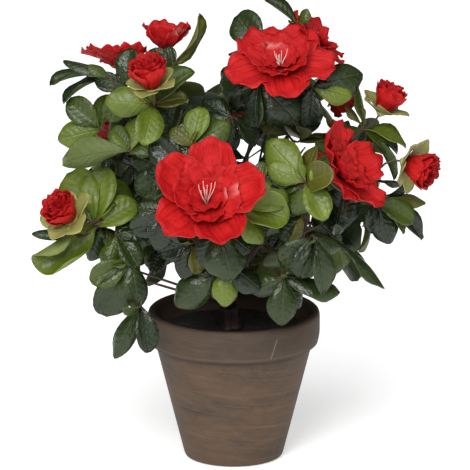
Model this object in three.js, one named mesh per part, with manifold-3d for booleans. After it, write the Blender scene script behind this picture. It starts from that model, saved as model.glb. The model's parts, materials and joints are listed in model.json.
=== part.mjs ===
// Azalea in a clay pot, about 37 cm tall: pot, soil, short trunk, boughs, and masses of leaves and blooms.
// Millimetres, +Z up. The front faces -Y. The origin is the centre of the pot's flat underside.
// Places on the plant are [across, up, depth] as seen from the front at viewHeight degrees above level:
// across runs to the right, up runs up the picture, and depth runs away from the viewer.
// Headings are [clock, lean]: clock 0 points right and 90 up the picture, lean is towards the viewer.

import * as THREE from 'three';
import { mergeVertices } from 'three/addons/utils/BufferGeometryUtils.js';
import Module from 'manifold-3d';

const wasm = await Module();
wasm.setup();

const viewHeight = 15.5;
const clearance = 0.3;
const fineness = 0.2;
const weld = 1e-3;
const nudge = 0.013;

// Pot and soil
const potHeight = 118;
const rimRadius = 67.5;
const rimBand = 25.5;
const neckRadius = 61.7;
const baseRadius = 38.4;
const wall = 6.3;
const potFloor = 9;
const soilDepth = 16;
const potSides = 28;

// Trunk and limbs
const trunkHeight = 17;
const trunkRadius = 7.2;
const trunkFlare = 9.4;
const trunkLean = -2;
const trunkSides = 12;
const boughRadius = 2.1;
const boughTip = 1.5;
const stemRadius = 1.45;
const twigRadius = 1.15;
const twigTip = 0.9;
const twigSteps = 2;

// Leaves, petals and buds
const leafWidth = 0.72;
const leafThick = 1;
const leafBend = 32;
const leafRidge = 0.56;
const leafCup = 0.16;
const leafSwing = 9;
const pinwheel = 12;
const whorlStep = 3;
const whorlSpacing = 42;
const faceSpacing = 100;
const whorlRadius = 1.2;
const goldenAngle = 137.5;
const petalThick = 1.1;
const petals = 5;
const lobe = [0.68, 1, 1];
const budSink = 2;

// Outlines from the root: how far along, and how wide as a share of the whole width
const leafShape = [[0.38, 0.66], [0.74, 1]];
const sepalShape = [[0, 0], [0.45, 1], [1, 0]];

const degrees = Math.PI / 180;
const pictureUp = new THREE.Vector3(0, Math.sin(viewHeight * degrees), Math.cos(viewHeight * degrees));
const toViewer = new THREE.Vector3(0, -Math.cos(viewHeight * degrees), Math.sin(viewHeight * degrees));
const acrossAxis = new THREE.Vector3(1, 0, 0);
const upright = new THREE.Vector3(0, 0, 1);

const finish = {
  clay: new THREE.MeshStandardMaterial({ color: 0x6b594a, roughness: 0.85, metalness: 0 }),
  soil: new THREE.MeshStandardMaterial({ color: 0x161312, roughness: 0.95, metalness: 0 }),
  bark: new THREE.MeshStandardMaterial({ color: 0x2e1f1d, roughness: 0.7, metalness: 0 }),
  foliage: new THREE.MeshStandardMaterial({ color: 0x3c5128, roughness: 0.55, metalness: 0 }),
};

// Main boughs rise side by side from the trunk's flat top. Each ends at a fork.
const mainBoughs = {
  left: { out: 130, to: [-46, 182, -8] },
  right: { out: 20, to: [44, 186, -4] },
  front: { out: 270, to: [-6, 178, -46] },
  back: { out: 75, to: [6, 178, 50] },
  top: { out: 0, centre: true, to: [4, 212, 4] },
};

// Side boughs rise from a main bough's tip, each towards the mass that it carries.
const sideBoughs = {
  'bough-upper-left': { from: 'left', slot: 0, to: [-58, 232, -18] },
  'bough-left': { from: 'left', slot: 1, to: [-78, 190, -26] },
  'bough-lower-left': { from: 'left', slot: 2, to: [-66, 172, -38] },
  'bough-right': { from: 'right', slot: 0, to: [84, 196, -24] },
  'bough-upper-right': { from: 'right', slot: 1, to: [76, 226, -4] },
  'bough-lower-right': { from: 'right', slot: 2, to: [56, 176, -34] },
  'bough-front': { from: 'front', slot: 0, to: [-12, 192, -62] },
  'bough-front-low': { from: 'front', slot: 1, to: [4, 170, -60] },
  'bough-front-right': { from: 'front', slot: 2, to: [34, 200, -62] },
  'bough-back-left': { from: 'back', slot: 0, to: [-52, 206, 72] },
  'bough-back-right': { from: 'back', slot: 1, to: [58, 208, 70] },
  'bough-back-low': { from: 'back', slot: 2, to: [6, 190, 84] },
  'bough-top': { from: 'top', slot: 0, to: [24, 268, -14] },
  'bough-back-top': { from: 'top', slot: 1, to: [30, 262, 34] },
  'bough-centre': { from: 'top', slot: 2, to: [-14, 238, -14] },
};

// Each mass grows from its bough: heart is where its stem ends, and its sprays stand round that.
// A spray is a whorl of leaves at a twig's tip: fan lists each leaf as [clock, length, lean, turn],
// where turn 0 shows the viewer the leaf's face, 70 nearly its edge and 180 its back.
const masses = {
  'foliage-upper-left': {
    bough: 'bough-upper-left',
    heart: [-68, 262, -26],
    sprays: [
      {
        at: [-97, 296, -8],
        fan: [[138, 42, 5, 78, 0.6], [168, 52, 0, 80, 0.6], [184, 42, 0, 80, 0.6], [70, 24, -15, 40]],
      },
      { at: [-62, 273, -66], fan: [[176, 38, 12, 8], [262, 36, 38, 0], [49, 42, 8, 38], [20, 28, 10, 20]] },
      { at: [-83, 287, -34], fan: [[84, 34, 5, 5], [165, 26, 10, 20], [238, 30, 8, 15], [10, 28, -5, 25]] },
      {
        at: [-47, 303, -28],
        fan: [[41, 48, 0, -78, 0.6], [104, 25, 25, 10], [146, 24, 10, 20], [275, 28, 10, 30]],
      },
      {
        at: [-104, 256, -14],
        fan: [[139, 34, 5, 8], [196, 36, 10, 5], [88, 30, -10, 25], [20, 24, 0, 20]],
      },
      {
        at: [-81, 238, -56],
        fan: [[180, 57, 0, 165, 0.7], [84, 28, 5, 10], [124, 26, 0, 20], [30, 30, 5, 20]],
      },
    ],
    blooms: [
      { at: [-93, 302, -8], facing: [95, -8], radius: 31, open: 0.8, spin: 20 },
      { at: [-53, 315, -12], facing: [88, 5], radius: 24, open: 0.3, spin: 0 },
      { at: [-92, 262, 26], facing: [120, -45], radius: 26, open: 0.8, spin: 40 },
    ],
    buds: [{ at: [-62, 284, -80], facing: [104, 32], length: 28, sepals: 20 }],
  },
  'foliage-left': {
    bough: 'bough-left',
    heart: [-98, 184, -38],
    sprays: [
      {
        at: [-108, 181, -44],
        fan: [[117, 50, 0, 10], [89, 48, 8, 5], [218, 58, 12, 15, 1.1], [35, 38, 8, 5]],
      },
      { at: [-103, 178, -34], fan: [[76, 46, -5, 15], [250, 30, 0, 20], [330, 30, 0, 20]] },
      { at: [-124, 172, -52], fan: [[178, 37, 0, 30, 0.6], [238, 42, 12, 10, 1.1]] },
    ],
    blooms: [],
    buds: [{ at: [-125, 184, -62], facing: [138, 42], length: 27, sepals: 22 }],
  },
  'foliage-lower-left': {
    bough: 'bough-lower-left',
    heart: [-76, 160, -48],
    sprays: [
      {
        at: [-82, 151, -60],
        fan: [[211, 34, 10, 5], [248, 54, 5, 5], [286, 40, 12, 8], [195, 34, -10, 20]],
      },
      { at: [-72, 117, -66], fan: [[283, 38, 8, 5, 0.8], [238, 46, 5, 25, 0.6]] },
      {
        at: [-90, 172, -50],
        fan: [[305, 34, 10, 10], [255, 32, 5, 10], [10, 34, 10, 10], [60, 28, 5, 10]],
      },
    ],
    blooms: [],
    buds: [],
  },
  'foliage-front': {
    bough: 'bough-front',
    heart: [-22, 198, -74],
    sprays: [
      { at: [-36, 219, -84], fan: [[138, 40, 5, 0], [172, 34, 0, 20], [100, 28, -10, 20]] },
      { at: [-52, 188, -82], fan: [[210, 32, 10, 0], [255, 32, 0, 5], [170, 26, 5, 15], [300, 30, 0, 10]] },
      { at: [4, 196, -84], fan: [[10, 40, 5, 8], [350, 44, 10, 5], [60, 30, 10, 10], [320, 38, 8, 30]] },
      { at: [-12, 176, -88], fan: [[290, 42, 15, 0, 1.3], [255, 34, 5, 5], [330, 34, 0, 10]] },
    ],
    blooms: [{ at: [-20, 197, -93], facing: [90, 66], radius: 46, open: 0.66, spin: 26 }],
    buds: [],
  },
  'foliage-front-low': {
    bough: 'bough-front-low',
    heart: [-6, 158, -70],
    sprays: [
      { at: [-14, 142, -72], fan: [[223, 43, 5, 5], [188, 30, 0, 20], [290, 26, 0, 20]] },
      { at: [-5, 148, -80], fan: [[272, 33, 15, 0], [330, 34, 10, 10]] },
      { at: [-32, 165, -74], fan: [[258, 30, 5, 0], [285, 26, 8, 10], [200, 32, 0, 10]] },
    ],
    blooms: [],
    buds: [],
  },
  'foliage-lower-right': {
    bough: 'bough-lower-right',
    heart: [50, 154, -60],
    sprays: [
      { at: [38, 138, -80], fan: [[205, 34, 8, 5], [270, 41, 12, 0], [352, 46, 5, 10], [310, 30, 0, 20]] },
      {
        at: [62, 168, -52],
        fan: [[216, 38, 12, 10], [284, 44, 0, 25], [250, 34, 5, 15], [350, 26, -10, 20]],
      },
      { at: [54, 188, -64], fan: [[275, 30, 5, 50], [230, 30, 5, 10], [190, 28, 0, 10]] },
    ],
    blooms: [],
    buds: [],
  },
  'foliage-front-right': {
    bough: 'bough-front-right',
    heart: [48, 212, -76],
    sprays: [
      {
        at: [55, 214, -86],
        fan: [[137, 44, 5, 5], [159, 32, 12, 10], [302, 35, 28, 0], [12, 39, 8, 0, 1.2]],
      },
      { at: [57, 216, -76], fan: [[67, 32, -5, 45], [190, 26, 0, 20], [250, 32, 0, 10]] },
      { at: [20, 212, -76], fan: [[88, 20, 30, 0], [20, 34, 0, 10], [340, 30, 0, 10]] },
    ],
    blooms: [],
    buds: [{ at: [60, 215, -88], facing: [95, 20], length: 9, sepals: 0 }],
  },
  'foliage-right': {
    bough: 'bough-right',
    heart: [92, 200, -34],
    sprays: [
      {
        at: [78, 170, -36],
        fan: [[82, 44, 8, 0, 1.1], [319, 58, 0, 55, 0.5], [292, 26, -8, 150], [200, 30, 0, 10]],
      },
      { at: [112, 196, -30], fan: [[292, 35, 0, 5], [338, 34, 0, 15], [262, 26, 0, 20]] },
      { at: [118, 200, -22], fan: [[297, 37, 0, 65, 0.8], [329, 44, 0, 60, 0.8], [2, 31, 0, 40, 0.8]] },
    ],
    blooms: [{ at: [84, 220, -62], facing: [28, 40], radius: 42, open: 0.78, spin: 10 }],
    buds: [{ at: [134, 223, -24], facing: [4, 22], length: 27, sepals: 18 }],
  },
  'foliage-upper-right': {
    bough: 'bough-upper-right',
    heart: [88, 246, -8],
    sprays: [
      {
        at: [101, 257, -12],
        fan: [[87, 39, 0, -75, 0.6], [110, 24, 0, 70, 0.7], [325, 27, 0, 40], [358, 40, 0, 45, 0.8]],
      },
      { at: [103, 254, -4], fan: [[314, 46, 0, 75, 0.6], [345, 36, -5, 50], [200, 28, 0, 20]] },
    ],
    blooms: [],
    buds: [{ at: [114, 267, -16], facing: [62, 15], length: 25, sepals: 19 }],
  },
  'foliage-top': {
    bough: 'bough-top',
    heart: [36, 290, -24],
    sprays: [
      { at: [22, 320, -16], fan: [[134, 33, 0, 5, 1.2], [172, 30, 0, 60, 0.7]] },
      { at: [50, 334, -8], fan: [[129, 34, 0, 65, 0.7], [60, 20, 0, 20]] },
      {
        at: [19, 287, -54],
        fan: [[172, 38, -14, 10], [322, 44, 8, 0, 1.2], [256, 38, 5, 50, 0.8], [282, 36, 5, 55, 0.8]],
      },
      {
        at: [62, 286, -40],
        fan: [[20, 43, 0, 5, 1.1], [350, 32, 10, 5], [265, 34, 5, 15], [215, 34, 0, 15]],
      },
    ],
    blooms: [
      { at: [38, 299, -44], facing: [90, 44], radius: 43, open: 0.9, spin: 6 },
      { at: [60, 312, -4], facing: [74, 8], radius: 31, open: 0.5, spin: 30 },
      { at: [76, 286, 22], facing: [-20, -30], radius: 22, open: 0.6, spin: 0 },
    ],
    buds: [],
  },
  'foliage-centre': {
    bough: 'bough-centre',
    heart: [-24, 252, -34],
    sprays: [
      { at: [-32, 242, -82], fan: [[82, 31, 12, 0], [36, 35, 10, 8], [140, 22, 5, 20], [200, 24, 0, 20]] },
      { at: [-2, 262, -48], fan: [[200, 32, 0, 10], [255, 34, 0, 15], [150, 30, 0, 15], [320, 30, 0, 20]] },
      { at: [-52, 250, -40], fan: [[120, 34, 0, 15], [200, 34, 0, 10], [60, 34, 0, 15], [280, 34, 0, 15]] },
      { at: [-50, 222, -36], fan: [[160, 36, 0, 10], [215, 34, 0, 10], [270, 34, 0, 15]] },
    ],
    blooms: [],
    buds: [],
  },
  'foliage-back-left': {
    bough: 'bough-back-left',
    heart: [-58, 212, 84],
    sprays: [],
    ball: { count: 8, middle: [-64, 206, 38], size: [42, 46, 50], leaves: 5 },
    blooms: [{ at: [-58, 226, 112], facing: [150, -62], radius: 38, open: 0.9, spin: 15 }],
    buds: [{ at: [-86, 196, 88], facing: [170, -40], length: 27, sepals: 19 }],
  },
  'foliage-back-right': {
    bough: 'bough-back-right',
    heart: [62, 214, 84],
    sprays: [],
    ball: { count: 8, middle: [70, 206, 38], size: [42, 46, 50], leaves: 5 },
    blooms: [{ at: [70, 214, 112], facing: [20, -62], radius: 40, open: 0.9, spin: 50 }],
    buds: [],
  },
  'foliage-back-low': {
    bough: 'bough-back-low',
    heart: [4, 190, 96],
    sprays: [],
    ball: { count: 6, middle: [4, 166, 76], size: [58, 28, 30], leaves: 5 },
    blooms: [],
    buds: [{ at: [8, 206, 118], facing: [80, -60], length: 27, sepals: 19 }],
  },
  'foliage-back-top': {
    bough: 'bough-back-top',
    heart: [26, 270, 52],
    sprays: [],
    ball: { count: 7, middle: [12, 258, 46], size: [54, 34, 44], leaves: 5 },
    blooms: [{ at: [14, 276, 92], facing: [95, -58], radius: 41, open: 0.9, spin: 0 }],
    buds: [{ at: [-30, 262, 84], facing: [130, -40], length: 27, sepals: 19 }],
  },
};

// Gaps in the crown where the sky shows from the front: [across, up, radius]
const crownMiddle = [2, 200, 0];
const skyGaps = [[-49, 133, 13], [17, 237, 6], [56, 235, 8], [-20, 258, 8], [-93, 178, 2]];

// One stream of repeatable random numbers from 0 to 1
function seededStream(seed) {
  let state = seed;
  return () => {
    state = (state * 16807) % 2147483647;
    return state / 2147483647;
  };
}

function place([across, up, depth]) {
  const height = (up - depth * pictureUp.y) / pictureUp.z;
  return new THREE.Vector3(across, depth, height);
}

function heading([clock, lean]) {
  const flat = Math.cos(lean * degrees);
  return new THREE.Vector3()
    .addScaledVector(acrossAxis, flat * Math.cos(clock * degrees))
    .addScaledVector(pictureUp, flat * Math.sin(clock * degrees))
    .addScaledVector(toViewer, Math.sin(lean * degrees));
}

function across(vector, axis) {
  return vector.clone().addScaledVector(axis, -vector.dot(axis)).normalize();
}

function solidOf(vertices, faces) {
  const mesh = new wasm.Mesh({
    numProp: 3,
    vertProperties: new Float32Array(vertices),
    triVerts: new Uint32Array(faces),
  });
  return new wasm.Manifold(mesh);
}

// A closed skin over rings of points that run anticlockwise about the way forward. A tip is one point.
function loft(rings) {
  const vertices = [];
  const faces = [];
  const starts = rings.map((ring) => {
    const start = vertices.length / 3;
    ring.forEach((point) => vertices.push(point.x, point.y, point.z));
    return start;
  });
  for (let row = 0; row + 1 < rings.length; row += 1) {
    const near = rings[row].length;
    const far = rings[row + 1].length;
    const [a, b] = [starts[row], starts[row + 1]];
    const count = Math.max(near, far);
    for (let k = 0; k < count; k += 1) {
      const next = (k + 1) % count;
      if (near > 1) faces.push(a + k, a + next, b + (far > 1 ? k : 0));
      if (far > 1) faces.push(a + (near > 1 ? next : 0), b + next, b + k);
    }
  }
  const end = rings.length - 1;
  for (let k = 1; k + 1 < rings[0].length; k += 1) faces.push(0, k + 1, k);
  const close = starts[end];
  for (let k = 1; k + 1 < rings[end].length; k += 1) faces.push(close, close + k, close + k + 1);
  return solidOf(vertices, faces);
}

// The largest of a solid's separate bodies
function largest(solid) {
  return solid.decompose().reduce((best, piece) => (piece.volume() > best.volume() ? piece : best));
}

function geometryOf(solid) {
  const mesh = solid.getMesh();
  const geometry = new THREE.BufferGeometry();
  geometry.setAttribute('position', new THREE.BufferAttribute(mesh.vertProperties, 3));
  geometry.setIndex(new THREE.BufferAttribute(mesh.triVerts, 1));
  return welded(geometry, weld);
}

// A limb's middle line leaves along one heading and arrives at a point, along a second heading if given.
function limbCurve(start, leaving, end, arriving) {
  const reach = start.distanceTo(end) * 0.4;
  const first = start.clone().addScaledVector(leaving, reach);
  const second = arriving ? end.clone().addScaledVector(arriving, -reach) : first.clone().lerp(end, 0.55);
  return new THREE.CubicBezierCurve3(start, first, second, end);
}

function limb(curve, rootRadius, tipRadius, sides, steps) {
  const rings = [];
  let face = across(Math.abs(curve.getTangent(0).z) > 0.9 ? acrossAxis : upright, curve.getTangent(0));
  for (let step = 0; step <= steps; step += 1) {
    const along = curve.getTangent(step / steps);
    const centre = curve.getPoint(step / steps);
    face = across(face, along);
    const side = new THREE.Vector3().crossVectors(along, face);
    const radius = THREE.MathUtils.lerp(rootRadius, tipRadius, step / steps);
    const ring = [];
    for (let k = 0; k < sides; k += 1) {
      const turn = (2 * Math.PI * k) / sides;
      ring.push(centre.clone()
        .addScaledVector(face, radius * Math.cos(turn))
        .addScaledVector(side, radius * Math.sin(turn)));
    }
    rings.push(ring);
  }
  return loft(rings);
}

// A thin blade with a ridge along its middle, bent back along an arc and cupped towards its face
function blade(shape, { base, along, face, length, width, bend, cup, thick }) {
  const front = across(face, along);
  const side = new THREE.Vector3().crossVectors(along, front);
  const arc = Math.max(Math.abs(bend), 1) * degrees * Math.sign(bend || 1);
  const rings = shape.map(([reach, share]) => {
    const angle = arc * reach;
    const centre = base.clone()
      .addScaledVector(along, (length * Math.sin(angle)) / arc)
      .addScaledVector(front, (-length * (1 - Math.cos(angle))) / arc);
    if (share === 0) return [centre];
    const outward = front.clone().multiplyScalar(Math.cos(angle)).addScaledVector(along, Math.sin(angle));
    const half = (width * share) / 2;
    const lift = cup * half * Math.min(1, reach * 3);
    return [
      centre.clone().addScaledVector(outward, thick / 2),
      centre.clone().addScaledVector(side, half).addScaledVector(outward, lift),
      centre.clone().addScaledVector(outward, -thick / 2),
      centre.clone().addScaledVector(side, -half).addScaledVector(outward, lift),
    ];
  });
  return loft(rings);
}

function turned(vector, axis, angle) {
  return vector.clone().applyAxisAngle(axis, angle * degrees);
}

// Where an arc that starts at a root reaches after a share of its length, and the way its face looks there
function arcPoint(root, along, face, length, bend, reach) {
  const angle = bend * degrees * reach;
  const radius = length / (bend * degrees);
  return {
    centre: root.clone()
      .addScaledVector(along, radius * Math.sin(angle))
      .addScaledVector(face, -radius * (1 - Math.cos(angle))),
    outward: face.clone().multiplyScalar(Math.cos(angle)).addScaledVector(along, Math.sin(angle)),
  };
}

// Leaves round one node in one skin. Each has an outline of five points and a ridge on its face and its back.
function whorl(node, leaves) {
  const axis = leaves.reduce((sum, one) => sum.add(one.face), new THREE.Vector3()).normalize();
  const aside = across(leaves[0].along, axis);
  const side = new THREE.Vector3().crossVectors(axis, aside);
  const bearing = (one) => Math.atan2(one.along.dot(side), one.along.dot(aside));
  const ordered = [...leaves].sort((a, b) => bearing(a) - bearing(b));
  const points = [
    node.clone().addScaledVector(axis, whorlRadius),
    node.clone().addScaledVector(axis, -whorlRadius),
  ];
  const faces = [];
  const leafPoints = 8;
  const lastNotch = 1 + leafPoints * ordered.length;
  ordered.forEach((one, k) => {
    const first = points.length;
    const after = ordered[(k + 1) % ordered.length];
    const gap = ((bearing(after) - bearing(one) + 2 * Math.PI) % (2 * Math.PI)) || 2 * Math.PI;
    const notch = turned(aside, axis, (bearing(one) + gap / 2) / degrees);
    points.push(...leafOutline(node, one), node.clone().addScaledVector(notch, whorlRadius * 1.6));
    const [ridge, keel, tip] = [first, first + 1, first + 2];
    const rim = [k === 0 ? lastNotch : first - 1, first + 3, first + 5, tip, first + 6, first + 4, first + 7];
    for (let edge = 0; edge + 1 < rim.length; edge += 1) {
      const byRoot = edge === 0 || edge + 2 === rim.length;
      faces.push(byRoot ? 0 : ridge, rim[edge], rim[edge + 1]);
      faces.push(byRoot ? 1 : keel, rim[edge + 1], rim[edge]);
    }
    faces.push(0, rim[1], ridge, 0, ridge, rim[5], 1, keel, rim[1], 1, rim[5], keel);
  });
  return solidOf(points.flatMap((point) => point.toArray()), faces);
}

// Ridge, keel, tip, then the right and left edge at each place in leafShape
function leafOutline(node, { along, face, length, breadth }) {
  const leftward = new THREE.Vector3().crossVectors(face, along);
  const half = (length * leafWidth * breadth) / 2;
  const spine = arcPoint(node, along, face, length, leafBend, leafRidge);
  const edges = leafShape.flatMap(([reach, share]) => {
    const { centre, outward } = arcPoint(node, along, face, length, leafBend, reach);
    return [-half * share, half * share].map((offset) => centre.clone()
      .addScaledVector(leftward, offset)
      .addScaledVector(outward, leafCup * half * share));
  });
  return [
    spine.centre.clone().addScaledVector(spine.outward, leafThick / 2),
    spine.centre.clone().addScaledVector(spine.outward, -leafThick / 2),
    arcPoint(node, along, face, length, leafBend, 1).centre,
    ...edges,
  ];
}

// Leaves that point well apart and face alike share a whorl. The others go to the next one down the twig.
function layersOf(leaves) {
  const layers = [];
  leaves.forEach((one) => {
    const fits = (other) => one.along.angleTo(other.along) > whorlSpacing * degrees
      && one.face.angleTo(other.face) < faceSpacing * degrees;
    const layer = layers.find((group) => group.every(fits));
    if (layer) layer.push(one);
    else layers.push([one]);
  });
  return layers;
}

// An open bloom in one skin: a wide lobed dish of outer petals, and a steeper lobed cup of inner petals in it
function bloom({ at, facing, radius, open, spin }) {
  const axis = heading(facing);
  const centre = place(at);
  const aside = across(Math.abs(axis.z) > 0.9 ? acrossAxis : upright, axis);
  const rise = 58 - 46 * open;
  const count = petals * lobe.length;
  const ringAt = (share, height, lobed, twist) => Array.from({ length: count }, (_, k) => {
    const reach = radius * share * (lobed ? lobe[k % lobe.length] : 1);
    return centre.clone()
      .addScaledVector(turned(aside, axis, spin + twist + (360 * k) / count), reach)
      .addScaledVector(axis, height + reach * Math.tan(rise * degrees));
  });
  return loft([
    [centre.clone().addScaledVector(axis, -2 * petalThick)],
    ringAt(0.5, -petalThick * 1.4, false, 0),
    ringAt(1, -petalThick, true, 0),
    ringAt(1, 0, true, 0),
    ringAt(0.52, petalThick * 0.2, false, 0),
    ringAt(0.62, radius * 0.16, true, 24),
    [centre.clone().addScaledVector(axis, petalThick)],
  ]);
}

// A bud that is just opening: a closed cup of petals over pale sepals
function bud({ at, facing, length, sepals }) {
  const axis = heading(facing);
  const centre = place(at).addScaledVector(axis, -budSink);
  const aside = across(Math.abs(axis.z) > 0.9 ? acrossAxis : upright, axis);
  const profile = [[0, 0.1], [0.3, 0.44], [0.68, 0.58], [1, 0.46]];
  const rings = profile.map(([reach, share], row) => Array.from({ length: 8 }, (_, k) => {
    const lobe = row === 3 && k % 2 ? 0.8 : 1;
    const outward = turned(aside, axis, 45 * k);
    return centre.clone()
      .addScaledVector(axis, length * reach * (row === 3 && k % 2 ? 0.9 : 1))
      .addScaledVector(outward, length * share * lobe);
  }));
  const parts = [loft(rings)];
  for (let k = 0; k < (sepals ? 3 : 0); k += 1) {
    const outward = turned(aside, axis, 120 * k + 30);
    const along = outward.clone().multiplyScalar(0.62).addScaledVector(axis, 0.78).normalize();
    parts.push(blade(sepalShape, {
      base: centre.clone().addScaledVector(axis, 0.5),
      along,
      face: across(axis, along),
      length: sepals,
      width: sepals * 0.7,
      bend: -14,
      cup: 0.2,
      thick: leafThick,
    }));
  }
  return parts;
}

function boxesMeet(a, b, margin) {
  return [0, 1, 2].every((k) => a.min[k] - margin < b.max[k] && b.min[k] - margin < a.max[k]);
}

function isClear(solid, obstacles) {
  const box = solid.boundingBox();
  return obstacles.every((other) => !boxesMeet(box, other.box, clearance)
    || solid.minGap(other.solid, clearance * 2) >= clearance);
}

function obstacleOf(solid) {
  return { solid, box: solid.boundingBox() };
}

// Welds close points and drops the faces that this flattens to a line
function welded(geometry, tolerance) {
  const merged = mergeVertices(geometry, tolerance);
  const { array } = merged.index;
  const kept = [];
  for (let k = 0; k < array.length; k += 3) {
    const [a, b, c] = [array[k], array[k + 1], array[k + 2]];
    if (a !== b && b !== c && c !== a) kept.push(a, b, c);
  }
  merged.setIndex(kept);
  return merged;
}

// Whether each edge is shared by two faces that run along it in opposite ways
function isClosed(geometry) {
  const { array } = geometry.index;
  const edges = new Set();
  for (let k = 0; k < array.length; k += 3) {
    for (let side = 0; side < 3; side += 1) edges.add(`${array[k + side]} ${array[k + ((side + 1) % 3)]}`);
  }
  return edges.size === array.length
    && [...edges].every((edge) => edges.has(edge.split(' ').reverse().join(' ')));
}

// One body: a hollow that fusing sealed is filled, and loose scraps are dropped. Where the parts meet in a
// way that does not close when close points are welded, they are moved by up to 0.3 mm.
function fusedGeometry(parts) {
  for (let attempt = 0; attempt < 24; attempt += 1) {
    const moved = parts.map((part, k) => part.translate([2, 3, 5].map((cycle) => (
      nudge * attempt * ((k % cycle) - (cycle - 1) / 2) * 0.5))));
    const first = welded(geometryOf(largest(wasm.Manifold.union(moved).simplify(fineness))), weld);
    if (isClosed(first)) {
      const whole = largest(solidOf(first.attributes.position.array, first.index.array));
      const second = welded(geometryOf(whole), weld);
      if (isClosed(second) && isClosed(welded(second, weld * 4))) return second;
    }
  }
  return null;
}

function coversSky(base, along, length) {
  return skyGaps.some(([gapAcross, gapUp, radius]) => [0.3, 0.6, 0.9].some((share) => {
    const point = base.clone().addScaledVector(along, length * share);
    const dx = point.x - gapAcross;
    const dy = point.dot(pictureUp) - gapUp;
    return Math.hypot(dx, dy) < radius + length * 0.22;
  }));
}

// A back mass carries its sprays over a ball at golden-angle steps, each whorl facing out and up.
function ballSprays({ count, middle, size, leaves }, draw) {
  const sprays = [];
  for (let k = 0; k < count; k += 1) {
    const depthShare = 1 - (2 * (k + 0.3 + 0.4 * draw())) / count;
    const spread = Math.sqrt(1 - depthShare * depthShare);
    const angle = (k * goldenAngle + 20 * draw()) * degrees;
    const at = [
      middle[0] + size[0] * spread * Math.cos(angle),
      middle[1] + size[1] * spread * Math.sin(angle),
      middle[2] + size[2] * depthShare,
    ];
    const axis = place(at).sub(place(crownMiddle)).normalize().addScaledVector(upright, 0.45).normalize();
    const aside = across(acrossAxis, axis);
    const start = 360 * draw();
    const fan = [];
    for (let j = 0; j < leaves; j += 1) {
      const outward = turned(aside, axis, start + (360 * (j + 0.2 * draw())) / leaves);
      const along = outward.multiplyScalar(0.86).addScaledVector(axis, 0.35 + 0.3 * draw()).normalize();
      fan.push({
        along,
        face: turned(across(axis, along), along, -pinwheel),
        length: 33 + 12 * draw(),
        breadth: 1,
      });
    }
    sprays.push({ at, axis, fan });
  }
  return sprays;
}

// A front spray's leaves as listed. A turned leaf's face tips up and it droops, or rears up if turn is minus.
function listedSpray({ at, fan }, draw) {
  const leaves = fan.map(([clock, length, lean, turn, breadth = 1]) => {
    const along = heading([clock + 4 * (draw() - 0.5), lean]);
    const tip = Math.cos(clock * degrees) < 0 ? turn : -turn;
    const face = turned(across(toViewer, along), along, tip - pinwheel);
    return { along, face, length, breadth };
  });
  const axis = leaves.reduce((sum, one) => sum.add(one.along), new THREE.Vector3());
  axis.addScaledVector(toViewer, 1).addScaledVector(upright, 0.8);
  return { at, axis: axis.normalize(), fan: leaves };
}

function addMesh(name, geometry, material) {
  const mesh = new THREE.Mesh(geometry, material);
  mesh.name = name;
  mesh.geometry.computeVertexNormals();
  plant.add(mesh);
  return mesh;
}

function turnedProfile(points, sides) {
  const geometry = new THREE.LatheGeometry(points.map(([r, z]) => new THREE.Vector2(r, z)), sides);
  geometry.rotateX(Math.PI / 2);
  geometry.deleteAttribute('normal');
  geometry.deleteAttribute('uv');
  return mergeVertices(geometry, weld);
}

const plant = new THREE.Group();

// Pot: a plain taper under a broad rolled rim, open at the top
const rimFoot = potHeight - rimBand;
const innerRim = rimRadius - wall;
const innerBase = baseRadius - wall + 2;
const potProfile = [
  [0, 0],
  [baseRadius - 3, 0],
  [baseRadius, 2.5],
  [neckRadius, rimFoot],
  [neckRadius + 4.6, rimFoot + 1.2],
  [rimRadius - 1, rimFoot + 5],
  [rimRadius, rimFoot + 9],
  [rimRadius, potHeight - 3],
  [rimRadius - 1.6, potHeight - 0.6],
  [rimRadius - 3.2, potHeight],
  [innerRim + 1, potHeight - 0.8],
  [innerRim, potHeight - 3],
  [innerBase, potFloor],
  [0, potFloor],
];
addMesh('pot', turnedProfile(potProfile, potSides), finish.clay);

// Soil: fills the pot to soilDepth below its lip
const soilTop = potHeight - soilDepth;
const wallSlope = (innerRim - innerBase) / (potHeight - 3 - potFloor);
const soilGap = clearance / Math.cos(Math.PI / potSides) + 0.05;
const soilFoot = potFloor + clearance;
const soilProfile = [
  [0, soilFoot],
  [innerBase + (soilFoot - potFloor) * wallSlope - soilGap, soilFoot],
  [innerBase + (soilTop - 1 - potFloor) * wallSlope - soilGap, soilTop - 1],
  [20, soilTop],
  [0, soilTop],
];
addMesh('soil', turnedProfile(soilProfile, potSides), finish.soil);

// Trunk: a flat cut at soil level, a flare, a slight lean to the left, and a flat top that the boughs leave
const trunkFoot = new THREE.Vector3(trunkLean, 3, soilTop + clearance);
const trunkTop = new THREE.Vector3(trunkLean * 2, 2, soilTop + clearance + trunkHeight);
const trunkRings = [[0, trunkFlare], [0.22, trunkRadius + 0.7], [0.6, trunkRadius], [1, trunkRadius]];
const trunk = loft(trunkRings.map(([reach, radius]) => {
  const centre = trunkFoot.clone().lerp(trunkTop, reach);
  return Array.from({ length: trunkSides }, (_, k) => {
    const angle = (2 * Math.PI * k) / trunkSides;
    const knob = 1 + 0.06 * Math.sin(3 * angle);
    return new THREE.Vector3(
      centre.x + radius * knob * Math.cos(angle),
      centre.y + radius * knob * Math.sin(angle),
      centre.z,
    );
  });
}));
addMesh('trunk', geometryOf(trunk), finish.bark);

// Boughs: the next limb starts clear of the last one's tip, along its heading
const limbs = [];
const tips = {};

function addBough(name, curve, rootRadius, tipRadius) {
  const solid = limb(curve, rootRadius, tipRadius, 5, 4);
  limbs.push(obstacleOf(solid));
  tips[name] = { end: curve.getPoint(1), along: curve.getTangent(1) };
  addMesh(name, geometryOf(solid), finish.bark);
}

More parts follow.
